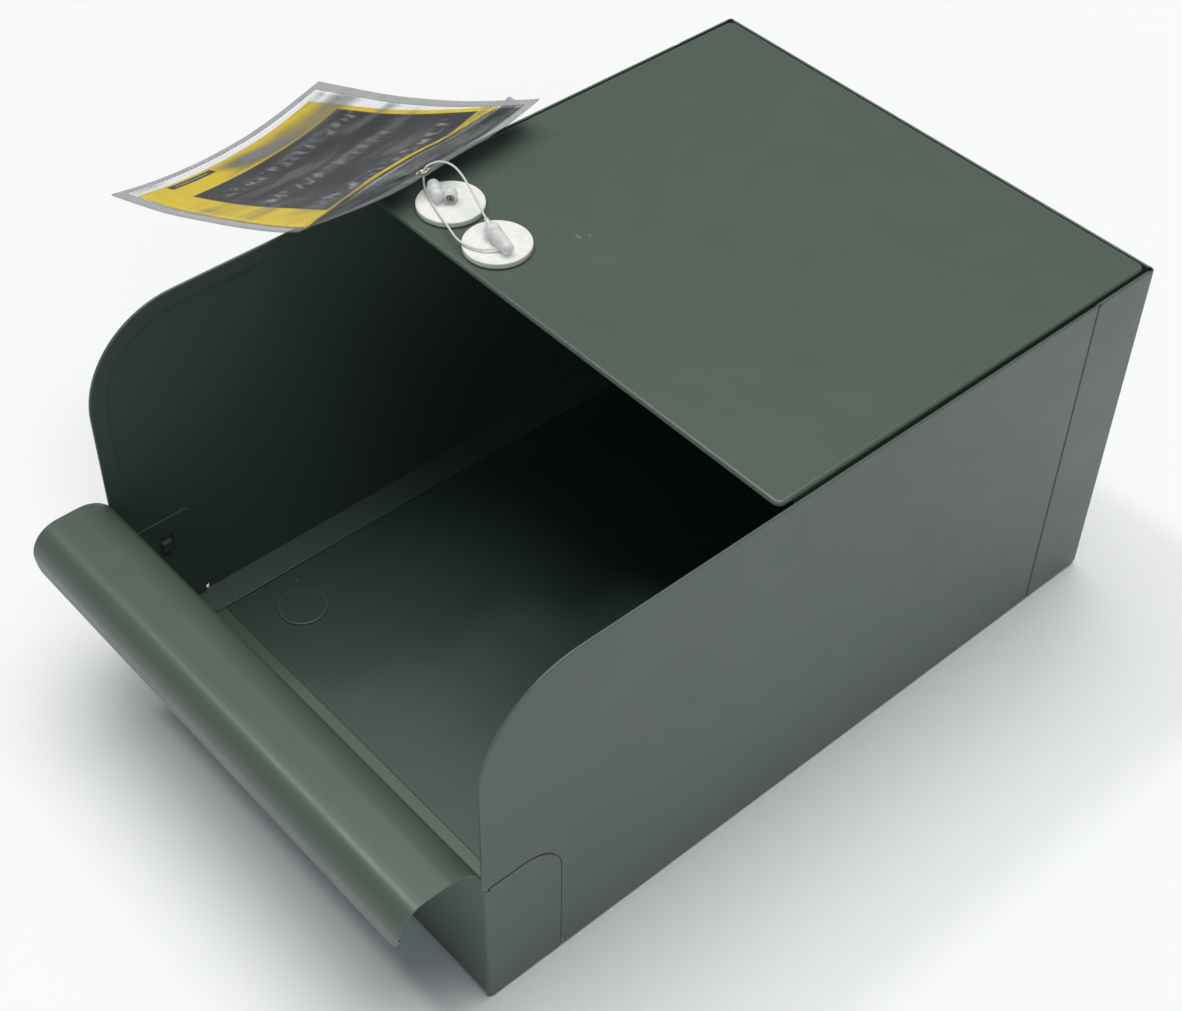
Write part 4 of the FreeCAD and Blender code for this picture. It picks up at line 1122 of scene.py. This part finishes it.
def buckle(side, out):
    """Waves of the flexible sheet in mm: creases that run to the eyelet, a wavy header, a slack middle."""
    reach = math.hypot(side, out)
    heading = math.atan2(out, side)
    fade = smoothstep((reach - 4.5) / 8.0)
    crease = 0.50 * math.exp(-reach / 26.0) * math.cos(6.0 * heading + 0.7) * fade
    header = 0.55 * math.sin(side / 12.0 + 0.9) * math.exp(-max(out, 0.0) / 24.0) * fade
    slack = 0.9 * noise.noise(Vector((side / 42.0, out / 55.0, 3.0))) * smoothstep((reach - 12.0) / 30.0)
    snag = 2.6 * math.exp(-(((side - 79.0) / 2.2) ** 2 + ((out - 21.0) / 2.4) ** 2))
    return crease + header + slack + snag


def fold_line(side):
    """How far out from the eyelet the card's folded edge lies."""
    if side <= FOLD_KNOTS[0][0]:
        return FOLD_KNOTS[0][1]
    for index, (start, end) in enumerate(zip(FOLD_KNOTS, FOLD_KNOTS[1:])):
        if side <= end[0]:
            before = FOLD_KNOTS[max(0, index - 1)]
            after = FOLD_KNOTS[min(len(FOLD_KNOTS) - 1, index + 2)]
            width = end[0] - start[0]
            part = (side - start[0]) / width
            lean_in = (end[1] - before[1]) / (end[0] - before[0]) * width
            lean_out = (after[1] - start[1]) / (after[0] - start[0]) * width
            square, cube = part * part, part ** 3
            return ((2 * cube - 3 * square + 1) * start[1] + (cube - 2 * square + part) * lean_in
                    + (3 * square - 2 * cube) * end[1] + (cube - square) * lean_out)
    return FOLD_KNOTS[-1][1]


def fold_size(side):
    """Half height of the card's rolled edge, which stands up most in the middle."""
    return 0.62 * (1.0 + 0.75 * math.exp(-((side + 4.0) / 40.0) ** 2))


def taper(near, far, across, along):
    """Side of a spot in mm on a sheet whose near and far ends run from one side to the other."""
    first, second = [low + (high - low) * across for low, high in (near, far)]
    return first * (1.0 - along) + second * along


def border(across, along):
    """The pocket's own outline: (side, out) in mm for shares from 0 to 1 across and along it."""
    side = taper(POCKET_NEAR, POCKET_FAR, across, along)
    edge = 2.0 * across - 1.0
    header = -POCKET_HEADER + edge * edge * (2.5 if edge > 0 else 7.0)
    tip = 187.5 + 8.5 * across
    return side, header + (tip - header) * along


class Sheets:
    """Builds layers over a grid of cells, with walls where the cells end, and keeps their UV map."""

    def __init__(self, columns, rows, locate):
        self.work = bmesh.new()
        self.chart = self.work.loops.layers.uv.new("UVMap")
        self.ahead = self.work.verts.layers.float.new("ahead_of_card")
        self.cells = [(i, j) for i in range(columns) for j in range(rows)]
        self.spots = {(i, j): locate(i / columns, j / rows)
                      for i in range(columns + 1) for j in range(rows + 1)}

    def ring(self, cell):
        """The four corners of a cell."""
        i, j = cell
        return [(i, j), (i + 1, j), (i + 1, j + 1), (i, j + 1)]

    def layer(self, lift):
        """Vertices of one surface, made when a face first needs them."""
        return {"lift": lift, "made": {}}

    def vertex(self, layer, key):
        if key not in layer["made"]:
            side, out = self.spots[key]
            made = self.work.verts.new(pocket_place(side, out, layer["lift"](side, out)) * MM)
            made[self.ahead] = smoothstep((fold_line(side) - out - 1.6) / 2.0)
            layer["made"][key] = made
        return layer["made"][key]

    def face(self, corners):
        """A face from (layer, key) pairs, with its UV map from where the keys lie on the pocket."""
        made = self.work.faces.new([self.vertex(layer, key) for layer, key in corners])
        for loop, (_, key) in zip(made.loops, corners):
            loop[self.chart].uv = chart_spot(*self.spots[key])

    def edges(self, cells):
        """Edges of the cells' outline, each in the direction that keeps its cell on the left."""
        found = {}
        for cell in cells:
            for start, end in around(self.ring(cell)):
                if found.pop((end, start), None) is None:
                    found[(start, end)] = True
        return list(found)

    def slab(self, cells, upper, lower, inward=False):
        """A solid, or a hollow when inward, over some cells."""
        top, bottom = (lower, upper) if inward else (upper, lower)
        for cell in cells:
            ring = self.ring(cell)
            self.face([(top, key) for key in ring])
            self.face([(bottom, key) for key in reversed(ring)])
        for start, end in self.edges(cells):
            self.face([(top, start), (bottom, start), (bottom, end), (top, end)])


def window_depth(side, out):
    """How far a spot of the pocket lies inside its weld, in mm."""
    depth = 1e9
    for start, end in around(WINDOW):
        length = math.hypot(end[0] - start[0], end[1] - start[1])
        depth = min(depth, ((end[1] - start[1]) * (side - start[0])
                            - (end[0] - start[0]) * (out - start[1])) / length)
    return min(depth, math.hypot(side, out) - EYELET_CLEAR)


class DROPBOX_OT_pocket(bpy.types.Operator):
    """Weld the clear label pocket: two films, a milky rim and a hole for the eyelet"""
    bl_idname = "dropbox.pocket"
    bl_label = "Label Pocket"

    def execute(self, context):
        settings = context.scene.dropbox_label
        film = settings.film / MM
        sheets = Sheets(92, 112, border)
        cells = []
        for cell in sheets.cells:
            middle = [sum(sheets.spots[key][k] for key in sheets.ring(cell)) / 4.0 for k in (0, 1)]
            if math.hypot(*middle) > EYELET_HOLE:
                cells.append(cell)
        for start, _ in sheets.edges(cells):
            side, out = sheets.spots[start]
            reach = math.hypot(side, out)
            if 0.1 < reach < 5.0:
                sheets.spots[start] = (side * EYELET_HOLE / reach, out * EYELET_HOLE / reach)

        def swell(side, out):
            inner = smoothstep(window_depth(side, out) / FILM_SWELL)
            roll = math.exp(-((out - fold_line(side)) / 4.5) ** 2) if abs(side) < 76.0 else 0.0
            return film + inner * (0.36 + (2.0 * fold_size(side) - 0.30) * roll)

        def sink(side, out):
            return FILM_SINK * smoothstep(window_depth(side, out) / FILM_SWELL)

        upper = sheets.layer(lambda s, o: buckle(s, o) + swell(s, o))
        lower = sheets.layer(lambda s, o: buckle(s, o) - film - sink(s, o))
        inner_upper = sheets.layer(lambda s, o: buckle(s, o) + swell(s, o) - film)
        inner_lower = sheets.layer(lambda s, o: buckle(s, o) - sink(s, o) - 0.02)
        hollow = [cell for cell in cells
                  if min(window_depth(*sheets.spots[key]) for key in sheets.ring(cell)) > 0.4]
        sheets.slab(cells, upper, lower)
        sheets.slab(hollow, inner_upper, inner_lower, inward=True)
        vinyl = finish_named("Clear Pocket Film", pocket_film, corners=WINDOW, **POCKET_FILM)
        piece("film_pocket", sheets.work, "label_body", [vinyl], ["label_pocket"])
        self.weld(settings)
        return {"FINISHED"}

    def weld(self, settings):
        """The bead and fine ribs that the heated bar left along the weld."""
        points = []
        for start, end in around(WINDOW):
            for step in range(WELD_STEPS):
                part = step / WELD_STEPS
                side = start[0] + (end[0] - start[0]) * part
                out = start[1] + (end[1] - start[1]) * part
                if math.hypot(side, out) > EYELET_CLEAR:
                    points.append(pocket_place(side, out, buckle(side, out) + WELD_LIFT) * MM)
        path = bpy.data.meshes.new("weld_path")
        steps = [(k, k + 1) for k in range(len(points) - 1)
                 if (points[k + 1] - points[k]).length < WELD_GAP * MM]
        path.from_pydata(points, steps, [])
        ridge = finish_named("Weld Ridge Film", pocket_ridge, *WELD_RIDGE)
        mesh = grown(weld_tree(), "pocket_weld_ribs", {
            "Bead Radius": 0.16 * MM, "Rib Spacing": settings.rib_gap,
            "Rib Size": mm(0.18, 1.5, 0.22), "Material": ridge}, path)
        piece("pocket_weld_ribs", mesh, "label_body", [ridge])


class DROPBOX_OT_card(bpy.types.Operator):
    """Cut and fold the card that lies in the pocket"""
    bl_idname = "dropbox.card"
    bl_label = "Label Card"

    def execute(self, context):
        settings = context.scene.dropbox_label

        def outline(across, along):
            side = taper(CARD_NEAR, CARD_FAR, across, along)
            header = fold_line(side)
            return side, header + (172.0 + 11.7 * across - header) * along

        sheets = Sheets(76, 84, outline)

        def curl(side, out):
            return 0.55 * math.exp(-max(0.0, out - fold_line(side)) / 2.2)

        upper = sheets.layer(lambda s, o: buckle(s, o) + curl(s, o) + 0.20)
        lower = sheets.layer(lambda s, o: buckle(s, o) + curl(s, o) - 0.16)
        sheets.slab(sheets.cells, upper, lower)
        self.fold(sheets)
        printed = finish_named("Printed Card", printed_card, settings.card, settings.field)
        piece("folded_card", sheets.work, "label_body", [printed], ["label_card"])
        return {"FINISHED"}

    def fold(self, sheets):
        """The rolled edge where the card is folded back on itself."""
        rings = []
        steps, corners, end_chart = 120, 10, 0.02
        for step in range(steps + 1):
            side = -73.5 + 146.5 * step / steps
            out = fold_line(side)
            ring = []
            for corner in range(corners):
                angle = 2.0 * math.pi * corner / corners
                spot = pocket_place(side, out + 1.5 * fold_size(side) * math.cos(angle),
                                    buckle(side, out) + fold_size(side) * (1.0 + math.sin(angle)))
                ring.append(sheets.work.verts.new(spot * MM))
            rings.append((ring, chart_spot(side, out)[0]))
        for (first, across), (second, _) in zip(rings, rings[1:]):
            for corner in range(corners):
                after = (corner + 1) % corners
                face = sheets.work.faces.new([first[corner], first[after], second[after], second[corner]])
                for loop in face.loops:
                    loop[sheets.chart].uv = (across, end_chart)
        for ring in (rings[0][0][::-1], rings[-1][0]):
            for loop in sheets.work.faces.new(ring).loops:
                loop[sheets.chart].uv = (0.5, end_chart)
        bmesh.ops.recalc_face_normals(sheets.work, faces=sheets.work.faces)


# ------------------------------------------------------------------ stage
class DROPBOX_OT_stage(bpy.types.Operator):
    """Lay the pale floor and hang the soft lights"""
    bl_idname = "dropbox.stage"
    bl_label = "Stage"

    def execute(self, context):
        studio = context.scene.dropbox_studio
        work = bmesh.new()
        bmesh.ops.create_grid(work, x_segments=24, y_segments=24, size=FLOOR_HALF)
        floor = bpy.data.objects.new("studio_floor", mesh_of(work, "studio_floor", smooth=False))
        floor.data.materials.append(finish_named("Studio Floor", studio_floor, studio.floor))
        context.scene.collection.objects.link(floor)
        suns = {name: self.sun(name + "_light", getattr(studio, name), *light)
                for name, light in LIGHTS.items()}
        suns["fill"].color = FILL_COLOUR
        suns["fill"].use_shadow = False
        self.surroundings(context, studio.ambient)
        context.scene.view_settings.view_transform = "Standard"
        return {"FINISHED"}

    def sun(self, name, strength, softness, towards):
        """A broad soft light that comes from a direction."""
        data = bpy.data.lights.new(name, "SUN")
        data.energy = strength
        data.angle = math.radians(softness)
        light = bpy.data.objects.new(name, data)
        light.rotation_mode = "QUATERNION"
        light.rotation_quaternion = Vector(towards).to_track_quat("Z", "Y")
        bpy.context.scene.collection.objects.link(light)
        return data

    def surroundings(self, context, ambient):
        """Dim even light all round, behind which a straight look shows white."""
        world = bpy.data.worlds.new("Studio Surroundings")
        world.use_nodes = True
        nodes = Nodes(world.node_tree)
        dim, white = [nodes.add("ShaderNodeBackground", {"Color": WHITE, "Strength": strength}).outputs[0]
                      for strength in (ambient, 1.0)]
        seen = nodes.add("ShaderNodeLightPath").outputs["Is Camera Ray"]
        mix = nodes.add("ShaderNodeMixShader", {0: seen, 1: dim, 2: white})
        nodes.add("ShaderNodeOutputWorld", {"Surface": mix.outputs[0]})
        context.scene.world = world


# ------------------------------------------------------------------ sidebar and registration
OPERATORS = (
    DROPBOX_OT_camera, DROPBOX_OT_elastic, DROPBOX_OT_panels, DROPBOX_OT_lock_plates, DROPBOX_OT_lid,
    DROPBOX_OT_hinges, DROPBOX_OT_rivets, DROPBOX_OT_lid_rests, DROPBOX_OT_feet, DROPBOX_OT_bases,
    DROPBOX_OT_clips, DROPBOX_OT_eyelet, DROPBOX_OT_pocket, DROPBOX_OT_card, DROPBOX_OT_stage,
)
SETTINGS = {
    "dropbox_paint": PaintSettings,
    "dropbox_tether": TetherSettings,
    "dropbox_label": LabelSettings,
    "dropbox_studio": StudioSettings,
}


class DROPBOX_PT_panel(bpy.types.Panel):
    """Sizes, colours and pieces of the drop box"""
    bl_idname = "DROPBOX_PT_panel"
    bl_label = "Book Drop Box"
    bl_space_type = "VIEW_3D"
    bl_region_type = "UI"
    bl_category = "Drop Box"

    def draw(self, context):
        for group, kind in SETTINGS.items():
            box = self.layout.box()
            for name in kind.__annotations__:
                box.prop(getattr(context.scene, group), name)
        for operator in OPERATORS:
            self.layout.operator(operator.bl_idname)


def register():
    for group, kind in SETTINGS.items():
        bpy.utils.register_class(kind)
        setattr(bpy.types.Scene, group, bpy.props.PointerProperty(type=kind))
    for kind in OPERATORS + (DROPBOX_PT_panel,):
        bpy.utils.register_class(kind)


def unregister():
    for kind in (DROPBOX_PT_panel,) + OPERATORS[::-1]:
        bpy.utils.unregister_class(kind)
    for group, kind in SETTINGS.items():
        delattr(bpy.types.Scene, group)
        bpy.utils.unregister_class(kind)


def main():
    """Makes every piece in order."""
    register()
    for operator in OPERATORS:
        group, name = operator.bl_idname.split(".")
        getattr(getattr(bpy.ops, group), name)()


if __name__ == "__main__":
    main()
